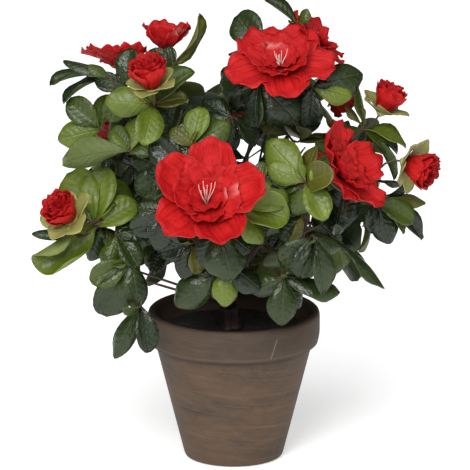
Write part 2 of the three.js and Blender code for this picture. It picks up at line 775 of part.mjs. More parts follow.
Object.entries(mainBoughs).forEach(([name, { out, centre, to }]) => {
  const offset = centre ? 0 : trunkRadius - boughRadius - 0.5;
  const start = trunkTop.clone().add(new THREE.Vector3(
    offset * Math.cos(out * degrees),
    offset * Math.sin(out * degrees),
    clearance,
  ));
  addBough(`bough-main-${name}`, limbCurve(start, upright, place(to)), boughRadius, boughTip + 0.3);
});

Object.entries(sideBoughs).forEach(([name, { from, slot, to }]) => {
  const parent = tips[`bough-main-${from}`];
  const end = place(to);
  const aside = across(Math.abs(parent.along.z) > 0.9 ? acrossAxis : upright, parent.along);
  const start = parent.end.clone()
    .addScaledVector(parent.along, clearance)
    .addScaledVector(turned(aside, parent.along, slotAngle(parent, end, slot, from)), boughTip * 1.16 + 0.26);
  addBough(name, limbCurve(start, parent.along, end), boughTip, stemRadius);
});

// The three side boughs of one main bough leave it in the order in which they fan out.
function slotAngle(parent, end, slot, from) {
  const aside = across(Math.abs(parent.along.z) > 0.9 ? acrossAxis : upright, parent.along);
  const sibling = Object.values(sideBoughs).filter((one) => one.from === from);
  const bearings = sibling.map((one) => {
    const way = across(place(one.to).sub(parent.end), parent.along);
    const side = new THREE.Vector3().crossVectors(parent.along, aside);
    return Math.atan2(way.dot(side), way.dot(aside)) / degrees;
  });
  const order = bearings.map((_, k) => k).sort((a, b) => bearings[a] - bearings[b]);
  const middle = bearings[order[0]];
  return middle + 120 * order.indexOf(slot);
}

function flowerEnd({ at, facing }, parts) {
  return { at: place(at), axis: heading(facing), parts };
}

// Masses: first every stem, twig, bloom and bud, then the leaves, each kept clear of what is not its own
const fixed = [...limbs, obstacleOf(trunk), ...solidsOf(['pot', 'soil'])];
const grown = Object.entries(masses).map(([name, mass], index) => {
  const draw = seededStream(101 + 37 * index);
  const source = tips[mass.bough];
  const start = source.end.clone().addScaledVector(source.along, clearance);
  const stem = limbCurve(start, source.along, place(mass.heart));
  const sprays = mass.sprays.map((spray) => listedSpray(spray, draw));
  if (mass.ball) sprays.push(...ballSprays(mass.ball, draw));
  const ends = [
    ...sprays.map((spray) => ({ at: place(spray.at), axis: spray.axis, spray })),
    ...mass.blooms.map((one) => flowerEnd(one, () => [bloom(one)])),
    ...mass.buds.map((one) => flowerEnd(one, () => bud(one))),
  ];
  const pieces = [obstacleOf(limb(stem, stemRadius, twigRadius, 3, 4))];
  return { name, draw, stem, ends, pieces, hidden: Boolean(mass.ball), leaves: 0, skipped: 0 };
});

grown.forEach((mass) => {
  const others = [...fixed, ...grown.filter((one) => one !== mass).flatMap((one) => one.pieces)];
  mass.ends.forEach((end, order) => {
    for (let attempt = 0; attempt < 8 && !end.grew; attempt += 1) {
      const share = 0.3 + (0.68 * (order + 0.8 * mass.draw())) / mass.ends.length;
      const start = mass.stem.getPoint(share);
      const leaving = end.at.clone().sub(start).normalize();
      leaving.addScaledVector(mass.stem.getTangent(share), 0.35).normalize();
      const curve = limbCurve(start, leaving, end.at, end.axis);
      const parts = [limb(curve, twigRadius, twigTip, 3, twigSteps), ...(end.parts ? end.parts() : [])];
      if (parts.every((part) => isClear(part, others))) {
        end.pieces = parts.map(obstacleOf);
        mass.pieces.push(...end.pieces);
        end.back = curve.getPoint(1 - 1 / twigSteps).sub(end.at).normalize();
        end.grew = true;
      }
    }
    if (!end.grew) mass.skipped += 1;
  });
});

grown.forEach((mass) => {
  const others = [...fixed, ...grown.filter((one) => one !== mass).flatMap((one) => one.pieces)];
  mass.ends.filter((end) => end.grew && end.spray).forEach((end) => {
    const own = mass.pieces.filter((piece) => !end.pieces.includes(piece));
    const placed = [];
    layersOf(end.spray.fan).forEach((layer, order) => {
      const node = end.at.clone().addScaledVector(end.back, whorlStep * (order + 0.3));
      const kept = layer.map((one) => settledLeaf(node, one, others, own, mass.hidden)).filter(Boolean);
      while (kept.length && !isClear(whorl(node, kept), others)) kept.pop();
      mass.skipped += layer.length - kept.length;
      mass.leaves += kept.length;
      if (kept.length) placed.push(obstacleOf(whorl(node, kept)));
    });
    mass.pieces.push(...placed);
  });
});

grown.forEach((mass) => {
  const mesh = addMesh(mass.name, fusedGeometry(mass.pieces.map((piece) => piece.solid)), finish.foliage);
  mesh.userData = { leaves: mass.leaves, skipped: mass.skipped };
});

// A leaf that would touch something swings up or down and shortens. A front leaf may then cross its own mass.
function settledLeaf(node, { along, face, length, breadth }, others, own, hidden) {
  const hinge = new THREE.Vector3().crossVectors(along, face).normalize();
  const tries = [0, 1, 2, 3, 4].map((attempt) => {
    const swing = leafSwing * attempt * (attempt % 2 ? 1 : -1);
    return {
      along: turned(along, hinge, swing),
      face: turned(face, hinge, swing),
      length: length * (1 - 0.05 * attempt),
      breadth,
    };
  });
  const free = tries.filter((one) => (!hidden || !coversSky(node, one.along, one.length))
    && isClear(whorl(node, [one]), others));
  return free.find((one) => isClear(whorl(node, [one]), own)) || (hidden ? null : free[0]);
}

// Named meshes as solids that the plant keeps clear of
function solidsOf(names) {
  return plant.children.filter((mesh) => names.includes(mesh.name)).map((mesh) => obstacleOf(
    solidOf(mesh.geometry.attributes.position.array, mesh.geometry.index.array),
  ));
}

export default plant;
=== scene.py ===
import json
import math
import bpy
import bmesh
from mathutils import Matrix, Vector, noise
from mathutils.bvhtree import BVHTree

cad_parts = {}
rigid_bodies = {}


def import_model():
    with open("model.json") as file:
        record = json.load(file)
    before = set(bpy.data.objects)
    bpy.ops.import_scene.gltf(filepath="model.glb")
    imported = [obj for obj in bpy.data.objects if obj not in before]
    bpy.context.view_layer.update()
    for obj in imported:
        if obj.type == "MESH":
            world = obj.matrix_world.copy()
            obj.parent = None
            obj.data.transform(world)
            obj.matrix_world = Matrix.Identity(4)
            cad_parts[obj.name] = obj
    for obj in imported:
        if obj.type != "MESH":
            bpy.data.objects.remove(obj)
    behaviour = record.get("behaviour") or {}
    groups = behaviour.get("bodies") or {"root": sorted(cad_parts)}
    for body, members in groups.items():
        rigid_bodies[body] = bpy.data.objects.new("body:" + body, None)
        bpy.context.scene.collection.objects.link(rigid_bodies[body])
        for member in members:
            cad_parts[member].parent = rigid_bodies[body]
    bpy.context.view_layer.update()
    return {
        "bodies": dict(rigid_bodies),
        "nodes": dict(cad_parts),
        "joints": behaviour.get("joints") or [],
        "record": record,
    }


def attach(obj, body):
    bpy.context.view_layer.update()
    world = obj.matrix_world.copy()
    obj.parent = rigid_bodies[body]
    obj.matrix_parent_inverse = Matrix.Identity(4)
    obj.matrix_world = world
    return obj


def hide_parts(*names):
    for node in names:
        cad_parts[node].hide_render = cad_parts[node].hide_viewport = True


# Azalea in a clay pot. The tables are in millimetres and degrees, the finished meshes in metres.
# A place is [across, up, depth] as the camera sees it: across to the right, up the picture, depth away.
# A heading is [clock, lean]: clock 0 is right and 90 up the picture, lean is towards the camera.

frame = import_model()
print("frame loaded")

view = {"elevation": 15.5, "distance": 6000, "width": 367.5, "sensor": 36, "far": 100,
        "aim": (0.94, 0, 178.4)}
tilt = math.radians(view["elevation"])
pictureUp = Vector((0, math.sin(tilt), math.cos(tilt)))
toViewer = Vector((0, -math.cos(tilt), math.sin(tilt)))
upright = Vector((0, 0, 1))
acrossAxis = Vector((1, 0, 0))


def place(spot):
    across, up, depth = spot
    return Vector((across, depth, (up - depth * pictureUp.y) / pictureUp.z))


def swept(first, second, angle):
    return first * math.cos(angle) + second * math.sin(angle)


def heading(way):
    clock, lean = (math.radians(angle) for angle in way)
    return swept(swept(acrossAxis, pictureUp, clock), toViewer, lean)


def squareTo(vector, axis):
    return (vector - axis * vector.dot(axis)).normalized()


def asideOf(axis):
    return squareTo(acrossAxis if abs(axis.z) > 0.9 else upright, axis)


def turned(vector, axis, angle):
    return Matrix.Rotation(math.radians(angle), 3, axis) @ vector


def seededStream(seed):
    state = seed

    def draw():
        nonlocal state
        state = state * 16807 % 2147483647
        return state / 2147483647

    return draw


def jitter(draw, span):
    return span * (draw() - 0.5)


def anyOf(items, draw, finest=1000):
    return items[int(draw() * finest) % len(items)]


class Curve:
    # a limb's middle line: it leaves along one heading and arrives along another if one is given
    def __init__(self, start, leaving, end, arriving=None):
        reach = (end - start).length * 0.4
        first = start + leaving * reach
        second = end - arriving * reach if arriving else first.lerp(end, 0.55)
        self.points = (start, first, second, end)

    def at(self, share):
        a, b, c, d = self.points
        rest = 1 - share
        return a * rest ** 3 + b * 3 * rest * rest * share + c * 3 * rest * share * share + d * share ** 3

    def along(self, share):
        middle = min(max(share, 0.001), 0.999)
        return (self.at(middle + 0.001) - self.at(middle - 0.001)).normalized()


def standing(spot, along, side):
    # a matrix that stands +Z along a heading at a spot
    across = squareTo(side, along)
    matrix = Matrix((across, along.cross(across), along)).transposed().to_4x4()
    matrix.translation = spot
    return matrix


def tube(curve, radiusAt, sides, steps):
    # a circle carried along a curve
    part = bmesh.new()
    side = asideOf(curve.along(0))
    last = standing(curve.at(0), curve.along(0), side)
    bmesh.ops.create_circle(part, cap_ends=True, segments=sides, radius=radiusAt(0), matrix=last)
    part.faces.ensure_lookup_table()
    face = part.faces[0]
    for step in range(1, steps + 1):
        share = step / steps
        side = squareTo(side, curve.along(share))
        now = standing(curve.at(share), curve.along(share), side)
        grown = bmesh.ops.extrude_face_region(part, geom=[face])["geom"]
        if step > 1:
            bmesh.ops.delete(part, geom=[face], context="FACES_ONLY")
        face = next(piece for piece in grown if isinstance(piece, bmesh.types.BMFace))
        swell = Matrix.Scale(radiusAt(share) / radiusAt((step - 1) / steps), 4)
        bmesh.ops.transform(part, matrix=now @ swell @ last.inverted(), verts=face.verts)
        last = now
    bmesh.ops.recalc_face_normals(part, faces=part.faces)
    return part


def tapered(root, tip):
    return lambda share: root + (tip - root) * share


def meshFrom(name, part):
    mesh = bpy.data.meshes.new(name)
    part.to_mesh(mesh)
    part.free()
    return mesh


def addObject(name, data):
    made = bpy.data.objects.new(name, data)
    bpy.context.scene.collection.objects.link(made)
    return made


def join(target, part):
    mesh = meshFrom("joining", part)
    target.from_mesh(mesh)
    bpy.data.meshes.remove(mesh)


def joinCopy(target, template, matrix):
    mesh = template.copy()
    mesh.transform(matrix)
    target.from_mesh(mesh)
    bpy.data.meshes.remove(mesh)


def finishPiece(name, part, material, nodes):
    # scales a piece from millimetres and hands it to the frame
    bmesh.ops.scale(part, vec=(0.001, 0.001, 0.001), verts=part.verts)
    for face in part.faces:
        face.smooth = True
    mesh = meshFrom(name, part)
    piece = addObject(name, mesh)
    mesh.materials.append(material)
    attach(piece, "root")
    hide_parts(*nodes)
    print(name, len(mesh.polygons), "faces")


# Finishes
def paint(red, green, blue):
    linear = [((c / 255 + 0.055) / 1.055) ** 2.4 if c > 10 else c / 255 / 12.92 for c in (red, green, blue)]
    return (*linear, 1)


class Value:
    # a socket that sums can be written on
    def __init__(self, finish, socket):
        self.finish = finish
        self.socket = socket

    def pick(self, index):
        return Value(self.finish, self.socket.node.outputs[index])

    def maths(self, operation, *others):
        return self.finish.maths(operation, self, *others)

    def __add__(self, other):
        return self.maths("ADD", other)

    def __sub__(self, other):
        return self.maths("SUBTRACT", other)

    def __rsub__(self, other):
        return self.finish.maths("SUBTRACT", other, self)

    def __mul__(self, other):
        return self.maths("MULTIPLY", other)

    def __gt__(self, other):
        return self.maths("GREATER_THAN", other)

    def __lt__(self, other):
        return self.maths("LESS_THAN", other)

    def __abs__(self):
        return self.maths("ABSOLUTE")


class Finish:
    def __init__(self, name, fixed):
        self.material = bpy.data.materials.new(name)
        self.material.use_nodes = True
        self.tree = self.material.node_tree
        self.shader = self.tree.nodes["Principled BSDF"]
        for socket, value in fixed.items():
            self.shader.inputs[socket].default_value = value

    def node(self, kind, values, **settings):
        made = self.tree.nodes.new(kind)
        for key, value in settings.items():
            setattr(made, key, value)
        for key, value in values.items():
            if isinstance(value, Value):
                self.tree.links.new(value.socket, made.inputs[key])
            else:
                made.inputs[key].default_value = value
        return Value(self, made.outputs[0])

    def maths(self, operation, *values):
        return self.node("ShaderNodeMath", dict(enumerate(values)), operation=operation)

    def clamped(self, value):
        return self.node("ShaderNodeClamp", {0: value})

    def mixed(self, mask, low, high):
        return self.node("ShaderNodeMix", {0: mask, 6: low, 7: high}, data_type="RGBA").pick(2)

    def noise(self, spot, scale, detail=3, rough=0.5):
        sizes = {"Scale": scale, "Detail": detail, "Roughness": rough}
        return self.node("ShaderNodeTexNoise", {"Vector": spot, **sizes})

    def where(self):
        return self.node("ShaderNodeTexCoord", {}).pick(3)

    def grain(self):
        # a piece's own UV map, with 2 added on the underside of a blade
        return self.split(self.node("ShaderNodeUVMap", {}, uv_map="grain"))

    def stretched(self, spot, scale):
        return self.node("ShaderNodeMapping", {"Vector": spot, "Scale": scale})

    def split(self, vector):
        return self.node("ShaderNodeSeparateXYZ", {0: vector})

    def feed(self, socket, value):
        self.tree.links.new(value.socket, self.shader.inputs[socket])

    def layered(self, colour, *layers):
        # lays colours over a ground, each by its mask
        for mask, over in layers:
            colour = self.mixed(mask, colour, over)
        self.feed("Base Color", colour)

    def bump(self, height, strength, distance):
        sizes = {"Strength": strength, "Distance": distance}
        self.feed("Normal", self.node("ShaderNodeBump", {"Height": height, **sizes}))


# Each green: its ground, its patches, its veins (also the painted highlight along a leaf's edge), and how
# dull it is
tones = {
    "deep": ((15, 27, 9), (28, 41, 15), (50, 61, 30), 0.22),
    "dark": ((24, 38, 9), (41, 55, 17), (67, 80, 33), 0.24),
    "mid": ((46, 63, 11), (67, 82, 22), (97, 108, 43), 0.28),
    "light": ((74, 91, 15), (97, 112, 30), (128, 138, 60), 0.32),
    "olive": ((67, 69, 17), (87, 87, 26), (113, 112, 46), 0.32),
    "calyx": ((130, 132, 64), (156, 154, 88), (172, 172, 112), 0.5),
}
veins = {"pairs": 7, "sweep": 1.7, "patches": 55, "gloss": 160, "fine": 340, "depth": 0.0009}
underside = paint(88, 102, 66)


def leafFinish(name):
    finish = Finish("leaf " + name, {"Specular IOR Level": 0.42})
    ground, patches, veinAndEdgeHighlight = (paint(*colour) for colour in tones[name][:3])
    spread = finish.grain()
    under = spread > 1.5
    edge = abs(spread - under * 2 - 0.5) * 2
    rib = finish.clamped(1 - edge * 13)
    sweep = (spread.pick(1) * veins["pairs"] - edge * veins["sweep"]).maths("PINGPONG", 0.5)
    branch = finish.clamped(1 - sweep * 11) * finish.clamped(1 - edge)
    lines = rib.maths("MAXIMUM", branch * 0.7)
    spot = finish.where()
    pale = tuple((a + b) / 2 for a, b in zip(underside, veinAndEdgeHighlight))
    # the veins, and a pale line along each leaf's edge that is a painted highlight, both take the vein colour
    finish.layered(ground, (finish.clamped(finish.noise(spot, veins["patches"]) * 2.4 - 0.7), patches),
                   (lines * 0.3 + finish.clamped(edge * 12 - 11) * 0.5, veinAndEdgeHighlight), (under * 0.8, pale))
    gloss = finish.noise(spot, veins["gloss"])
    finish.feed("Roughness", gloss * 0.24 + (tones[name][3] - 0.1) + under * 0.2)
    relief = sweep * 0.5 - rib * 0.6 + finish.noise(spot, veins["fine"], 4, 0.6) * 0.9
    finish.bump(relief, 0.7, veins["depth"])
    return finish.material


crepe = {"streaks": 22, "paintedSheen": 34, "crinkle": 110, "weave": 700, "depth": 0.0008}


def petalFinish():
    finish = Finish("petal red", {"Specular IOR Level": 0.25})
    spread = finish.grain()
    edge = abs(spread - (spread > 1.5) * 2 - 0.5) * 2
    reach = spread.pick(1)
    spot = finish.where()
    lengthwise = finish.node("ShaderNodeCombineXYZ", {0: spread * crepe["streaks"], 1: reach * 2.5})
    streak = finish.noise(lengthwise, 1)
    # pale pink patches on the outer part of a petal are a painted sheen
    paintedSheen = finish.noise(spot, crepe["paintedSheen"], 1) * 16 - 11.2
    paintedSheen = finish.clamped(paintedSheen) * finish.clamped(reach * 3 - 1.6)
    # darker towards the petal's root: painted shade in the throat
    finish.layered(paint(158, 6, 12), (finish.clamped(streak * 2.4 - 0.7), paint(198, 26, 26)),
                   (finish.clamped(1 - reach * 2.4), paint(104, 2, 10)),
                   (finish.clamped(edge * 9 - 8) * 0.25, paint(228, 60, 56)),
                   (paintedSheen * 0.7, paint(222, 128, 124)))
    finish.feed("Roughness", streak * 0.2 + 0.5)
    crinkle = finish.noise(spot, crepe["crinkle"]) * 2.4 + finish.noise(spot, crepe["weave"], 2) * 0.3
    finish.bump(streak * 2.6 + crinkle, 0.7, crepe["depth"])
    return finish.material


def plainFinish(name, low, high, rough, scale, relief, specks=None):
    finish = Finish(name, {})
    spot = finish.where()
    layers = [(finish.clamped(finish.noise(spot, scale) * 2.2 - 0.6), high)]
    if specks:
        layers.append((finish.clamped(finish.noise(spot, scale * 4, 1) * 16 - 10.8), specks))
    finish.layered(low, *layers)
    finish.feed("Roughness", finish.noise(spot, scale * 3) * 0.2 + rough)
    finish.bump(finish.noise(spot, scale * 5), 0.6, relief)
    return finish.material


def barkFinish():
    finish = Finish("bark", {})
    spot = finish.where()
    ridges = finish.noise(finish.stretched(spot, (1, 1, 0.16)), 420, 5, 0.65)
    finish.layered(paint(21, 13, 12), (finish.clamped(ridges * 2.4 - 0.7), paint(58, 37, 32)))
    finish.feed("Roughness", ridges * 0.3 + 0.5)
    finish.bump(ridges, 0.8, 0.0012)
    return finish.material


clay = {"ground": paint(78, 59, 42), "pale": paint(102, 82, 64), "grey": paint(47, 41, 35), "lines": 700,
        "slant": 0.1, "scratch": {"foot": (0.0289, 0.0948), "head": (0.0336, 0.1103), "width": 0.0006}}


def clayFinish():
    finish = Finish("clay", {"Specular IOR Level": 0.4})
    spot = finish.where()
    x, y, z = (finish.split(spot).pick(k) for k in range(3))
    level = z + x * clay["slant"]
    marks = finish.node("ShaderNodeCombineXYZ", {0: x * 20, 1: y * 20, 2: level * clay["lines"]})
    lines = finish.noise(marks, 1, 4, 0.6)
    cloud = finish.noise(finish.stretched(spot, (1, 1, 1.8)), 22, 4, 0.6)
    dust = finish.noise(finish.stretched(spot, (1, 1, 2)), 90, 6, 0.7)
    band = finish.clamped((z - rimFoot * 0.001) * 700 + 1)
    # a pale line along the rim's lower lip is a painted highlight
    paintedLipHighlight = finish.clamped(1 - abs(z - (rimFoot + 2.2) * 0.001) * 700)
    # a dark line just under the rim's band is a painted shadow
    corner = finish.clamped(1 - abs(z - (rimFoot - 1.5) * 0.001) * 260)
    (footX, footZ), (headX, headZ), width = clay["scratch"].values()
    slope = (headX - footX) / (headZ - footZ)
    away = abs(x - (z - footZ) * slope - footX)
    scratch = finish.clamped(1 - away * (1 / width)) * (y < 0) * (z > footZ) * (z < headZ)
    finish.layered(clay["ground"],
                   (finish.clamped(cloud * 4 - 1.85) * 0.85, clay["grey"]),
                   (finish.clamped(dust * 3.2 - 1.45) * 0.5, clay["pale"]),
                   (finish.clamped(lines * 4 - 2.1) * 0.8, clay["pale"]),
                   (finish.clamped(1.6 - lines * 4) * 0.85, paint(40, 34, 30)),
                   (band * 0.45, clay["grey"]),
                   (paintedLipHighlight * 0.35, clay["pale"]),
                   (corner * 0.55, paint(30, 26, 22)),
                   (scratch * 0.42, paint(156, 142, 126)))
    finish.feed("Roughness", dust * 0.2 + 0.62)
    finish.bump(lines * 0.5 + finish.noise(spot, 900, 4) * 0.3 - scratch * 0.5, 0.5, 0.0007)
    return finish.material


# Pot: spun from its profile, with the throwing marks, a painted highlight on the rim's lower lip and a
# painted shadow under the rim in the finish
pot = {"height": 118, "rim": 67.5, "band": 25.5, "neck": 61.7, "base": 38.4, "wall": 6.3, "floor": 9,
       "sides": 96}


def spun(profile, sides):
    part = bmesh.new()
    points = [part.verts.new((radius, 0, height)) for radius, height in profile]
    edges = [part.edges.new(pair) for pair in zip(points, points[1:])]
    bmesh.ops.spin(part, geom=points + edges, axis=(0, 0, 1), cent=(0, 0, 0), dvec=(0, 0, 0),
                   angle=2 * math.pi, steps=sides, use_merge=True)
    bmesh.ops.remove_doubles(part, verts=part.verts, dist=0.001)
    bmesh.ops.recalc_face_normals(part, faces=part.faces)
    return part


def rounded(corners, turns=4):
    # softens each inner corner of a profile: a corner is (radius, height, rounding)
    points = []
    for k, (radius, height, rounding) in enumerate(corners):
        spot = Vector((radius, height))
        if not rounding:
            points.append(spot)
            continue
        before = Vector(corners[k - 1][:2]) - spot
        after = Vector(corners[k + 1][:2]) - spot
        start = spot + before.normalized() * min(rounding, before.length * 0.48)
        end = spot + after.normalized() * min(rounding, after.length * 0.48)
        for turn in range(turns + 1):
            share = turn / turns
            points.append(start * (1 - share) ** 2 + spot * 2 * share * (1 - share) + end * share ** 2)
    return [tuple(point) for point in points]


rimFoot = pot["height"] - pot["band"]
innerRim = pot["rim"] - pot["wall"]
innerBase = pot["base"] - pot["wall"] + 2
potProfile = rounded([
    (0, 0, 0),
    (pot["base"] - 0.6, 0, 3),
    (pot["base"] + (pot["neck"] - pot["base"]) * 0.03, 3, 1.5),
    (pot["neck"], rimFoot, 2),
    (pot["rim"] - 1.6, rimFoot, 0.8),
    (pot["rim"], rimFoot + 7, 4),
    (pot["rim"], pot["height"], 5),
    (innerRim + 0.5, pot["height"], 2.4),
    (innerRim, pot["height"] - 8, 3),
    (innerBase, pot["floor"], 4),
    (0, pot["floor"], 0),
])
finishPiece("pot-clay", spun(potProfile, pot["sides"]), clayFinish(), ["pot"])

# Filling: a low mound with a rough, crumbly top
filling = {"level": 102, "foot": 9.4, "rings": 36, "sides": 110, "crumb": 1.2, "grit": 0.7, "dip": 1.6,
           "rise": 1.2}
slope = (innerRim - innerBase) / (pot["height"] - 3 - pot["floor"])
fillRadius = innerBase + (filling["level"] - pot["floor"]) * slope - 0.5
fillProfile = [(0, filling["foot"]), (innerBase - 0.5, filling["foot"]), (fillRadius, filling["level"] - 1.5)]
fillRings = filling["rings"]
fillProfile += [(fillRadius * (1 - k / fillRings), filling["level"] - 0.4) for k in range(fillRings + 1)]
mound = spun(fillProfile, filling["sides"])
for vert in mound.verts:
    if vert.co.z > filling["level"] - 1:
        lumps = noise.fractal(vert.co * 0.22, 1, 2, 4) * filling["crumb"]
        lumps += noise.noise(vert.co * 0.6) * filling["grit"]
        vert.co.z += max(-filling["dip"], min(filling["rise"], lumps))
grains = paint(112, 106, 98)
soilFinish = plainFinish("dark filling", paint(14, 12, 11), paint(44, 38, 34), 0.8, 260, 0.003, grains)
finishPiece("filling", mound, soilFinish, ["soil"])
print("pot and filling done")

# Trunk and boughs, from the same sizes as the solids
trunk = {"height": 17, "radius": 7.2, "flare": 9.4, "lean": -2, "sides": 60, "steps": 10, "relief": 1.7,
         "neck": 1.6, "flutes": 5}
clearance = 0.3
limbs = {"boughRadius": 2.1, "boughTip": 1.5, "stemRadius": 1.45, "sides": 10, "steps": 16, "collar": 0.9,
         "relief": 0.25, "grain": 0.5}

# Main boughs: the bearing of each on the trunk and where it ends. Side boughs: where each ends.
mainBoughs = {
    "left": (130, (-46, 182, -8)),
    "right": (20, (44, 186, -4)),
    "front": (270, (-6, 178, -46)),
    "back": (75, (6, 178, 50)),
    "top": (None, (4, 212, 4)),
}

sideBoughs = {
    "left": {"upper-left": (-58, 232, -18), "left": (-78, 190, -26), "lower-left": (-66, 172, -38)},
    "right": {"right": (84, 196, -24), "upper-right": (76, 226, -4), "lower-right": (56, 176, -34)},
    "front": {"front": (-12, 192, -62), "front-low": (4, 170, -60), "front-right": (34, 200, -62)},
    "back": {"back-left": (-52, 206, 72), "back-right": (58, 208, 70), "back-low": (6, 190, 84)},
    "top": {"top": (24, 268, -14), "back-top": (30, 262, 34), "centre": (-14, 238, -14)},
}

wood = bmesh.new()
trunkFoot = Vector((trunk["lean"], 3, filling["level"] + clearance))
trunkTop = Vector((trunk["lean"] * 2, 2, trunkFoot.z + trunk["height"]))
trunkCurve = Curve(trunkFoot, (trunkTop - trunkFoot).normalized(), trunkTop)


def trunkRadius(share):
    foot = (trunk["flare"] - trunk["radius"]) * math.exp(-share * 9)
    return trunk["radius"] + foot - trunk["neck"] * max(0, share - 0.85) * 6


bole = tube(trunkCurve, trunkRadius, trunk["sides"], trunk["steps"])
bole.normal_update()
for vert in bole.verts:
    # flutes, as of stems grown together
    angle = math.atan2(vert.co.y - trunkFoot.y, vert.co.x - trunkFoot.x)
    flute = abs(math.sin(angle * trunk["flutes"] / 2 + 0.4)) - 0.6
    flute += 0.25 * math.sin(angle * 3 + vert.co.z * 0.15)
    vert.co += Vector((vert.normal.x, vert.normal.y, 0)) * flute * trunk["relief"]
join(wood, bole)


def addLimb(curve, root, tip):
    def flared(share):
        return root + (tip - root) * share + limbs["collar"] * math.exp(-share * 14)

    limb = tube(curve, flared, limbs["sides"], limbs["steps"])
    limb.normal_update()
    for vert in limb.verts:
        # pushed in and out as bark is
        spot = Vector((vert.co.x, vert.co.y, vert.co.z * 0.12)) * limbs["grain"]
        push = noise.fractal(spot, 1, 2, 3) * limbs["relief"]
        vert.co += vert.normal * push
    join(wood, limb)


tips = {}
mainCurves = {}
for name, (bearing, to) in mainBoughs.items():
    start = trunkTop + Vector((0, 0, clearance))
    if bearing is not None:
        out = math.radians(bearing)
        offset = trunk["radius"] - limbs["boughRadius"] - 0.5
        start += Vector((math.cos(out), math.sin(out), 0)) * offset
    curve = Curve(start, upright, place(to))
    addLimb(curve, limbs["boughRadius"], limbs["boughTip"] + 0.3)
    tips[name] = (curve.at(1), curve.along(1))
    mainCurves[name] = curve

boughNodes = ["trunk", *(f"bough-main-{name}" for name in mainBoughs)]
for parentName, sides in sideBoughs.items():
    # the side boughs leave their main bough in the order in which they fan out, a third of a turn apart
    spot, along = tips[parentName]
    aside = asideOf(along)
    ways = [squareTo(place(to) - spot, along) for to in sides.values()]
    bearings = [math.degrees(math.atan2(way.dot(along.cross(aside)), way.dot(aside))) for way in ways]
    order = sorted(bearings)
    for bearing, (name, to) in zip(bearings, sides.items()):
        outward = turned(aside, along, order[0] + 120 * order.index(bearing))
        start = spot + along * clearance + outward * (limbs["boughTip"] * 1.16 + 0.26)
        curve = Curve(start, along, place(to))
        addLimb(curve, limbs["boughTip"], limbs["stemRadius"])
        tips["bough-" + name] = (curve.at(1), curve.along(1))
        boughNodes.append("bough-" + name)

finishPiece("trunk-and-boughs", wood, barkFinish(), boughNodes)
print("trunk and boughs done")

# Masses: a spray is (place, leaves, tones). A leaf is (clock, length, lean, turn), with its breadth if not 1
# and its shape if curled. A bloom is (place, heading, radius, how far it opens, turn), with what sets it
# apart, and a bud is (place, heading, length, sepals). A ball at the back is (sprays, middle, size).
masses = {}


def addMass(name, **parts):
    masses["foliage-" + name] = parts


addMass("upper-left", heart=(-68, 262, -26), sprays=[
    ((-97, 296, -8), [(172, 49, 5, 70, 0.5), (190, 44, 0, 78, 0.6), (70, 24, -15, 40)], "dark"),
    ((-96, 294, -42), [(148, 40, 0, 62, 0.55)], "dark"),
    ((-62, 273, -66), [(176, 38, 12, 8), (262, 36, 38, 0), (49, 42, 8, 38), (20, 28, 10, 20)],
     "light light mid olive"),
    ((-83, 287, -34), [(84, 34, 5, 5), (165, 26, 10, 20), (238, 30, 8, 15), (10, 28, -5, 25)],
     "dark dark mid"),
    ((-47, 303, -28), [(41, 48, 0, -78, 0.6), (104, 17, 10, 10), (146, 24, 10, 20), (275, 28, 10, 30)],
     "olive dark dark mid"),
    ((-104, 256, -14), [(139, 34, 5, 8), (196, 36, 10, 5), (88, 30, -10, 25)], "mid light"),
    ((-81, 238, -56), [(180, 57, 0, 165, 0.7), (84, 28, 5, 10), (124, 26, 0, 20), (30, 30, 5, 20)],
     "mid light mid"),
], blooms=[
    ((-91, 302, -8), (84, -8), 31, 0.8, 56),
    ((-53, 315, -12), (88, 5), 24, 0.3, 0),
    ((-90, 257, 22), (120, -45), 23, 0.8, 40),
], buds=[((-62, 284, -80), (104, 32), 28, 20)])
addMass("left", heart=(-98, 184, -38), sprays=[
    ((-108, 181, -44), [(117, 50, 0, 10), (89, 48, 8, 5), (216, 57, 8, -10, 1.1, "rolled"),
     (35, 38, 8, 5)], "light"),
    ((-103, 178, -34), [(76, 46, -5, 15), (250, 30, 0, 20), (330, 30, 0, 20)], "mid dark mid"),
    ((-124, 172, -52), [(178, 37, 0, 30, 0.45)], "dark"),
], buds=[((-125, 184, -62), (138, 42), 27, 22)])
addMass("lower-left", heart=(-76, 160, -48), sprays=[
    ((-82, 151, -60), [(211, 34, 10, 5), (248, 51, 5, 5, 0.9), (286, 40, 12, 8), (195, 34, -10, 20)],
     "mid dark dark mid"),
    ((-72, 117, -66), [(283, 38, 8, 5, 0.8), (246, 50, 5, 8, 0.56)], "deep dark"),
    ((-90, 172, -50), [(305, 34, 10, 10), (255, 32, 5, 10), (10, 34, 10, 10), (60, 28, 5, 10)],
     "dark mid deep dark"),
])
addMass("front", heart=(-22, 198, -74), sprays=[
    ((-36, 219, -84), [(138, 40, 5, 0), (172, 34, 0, 20), (100, 28, -10, 20)], "deep deep dark"),
    ((-52, 188, -82), [(210, 32, 10, 0), (255, 32, 0, 5), (170, 26, 5, 15), (300, 30, 0, 10)],
     "deep deep dark deep"),
    ((4, 196, -84), [(10, 40, 5, 8), (350, 42, 16, 5, 1.1, "spoon"), (60, 30, 10, 10), (320, 38, 8, 30)],
     "light light dark light"),
    ((-12, 176, -88), [(290, 42, 15, 0, 1.3), (255, 34, 5, 5), (330, 34, 0, 10)], "dark deep deep"),
], blooms=[((-21, 195, -93), (90, 66), 46, 0.66, 26, {"style": "smooth", "reach": 1.06})])
addMass("front-low", heart=(-6, 158, -70), sprays=[
    ((-14, 142, -72), [(223, 43, 5, 5), (188, 30, 0, 20), (290, 26, 0, 20)], "dark deep deep"),
    ((-5, 148, -80), [(272, 33, 15, 0), (330, 34, 10, 10)], "light deep"),
    ((-32, 165, -74), [(258, 30, 5, 0), (285, 26, 8, 10), (200, 32, 0, 10)], "deep olive deep"),
])
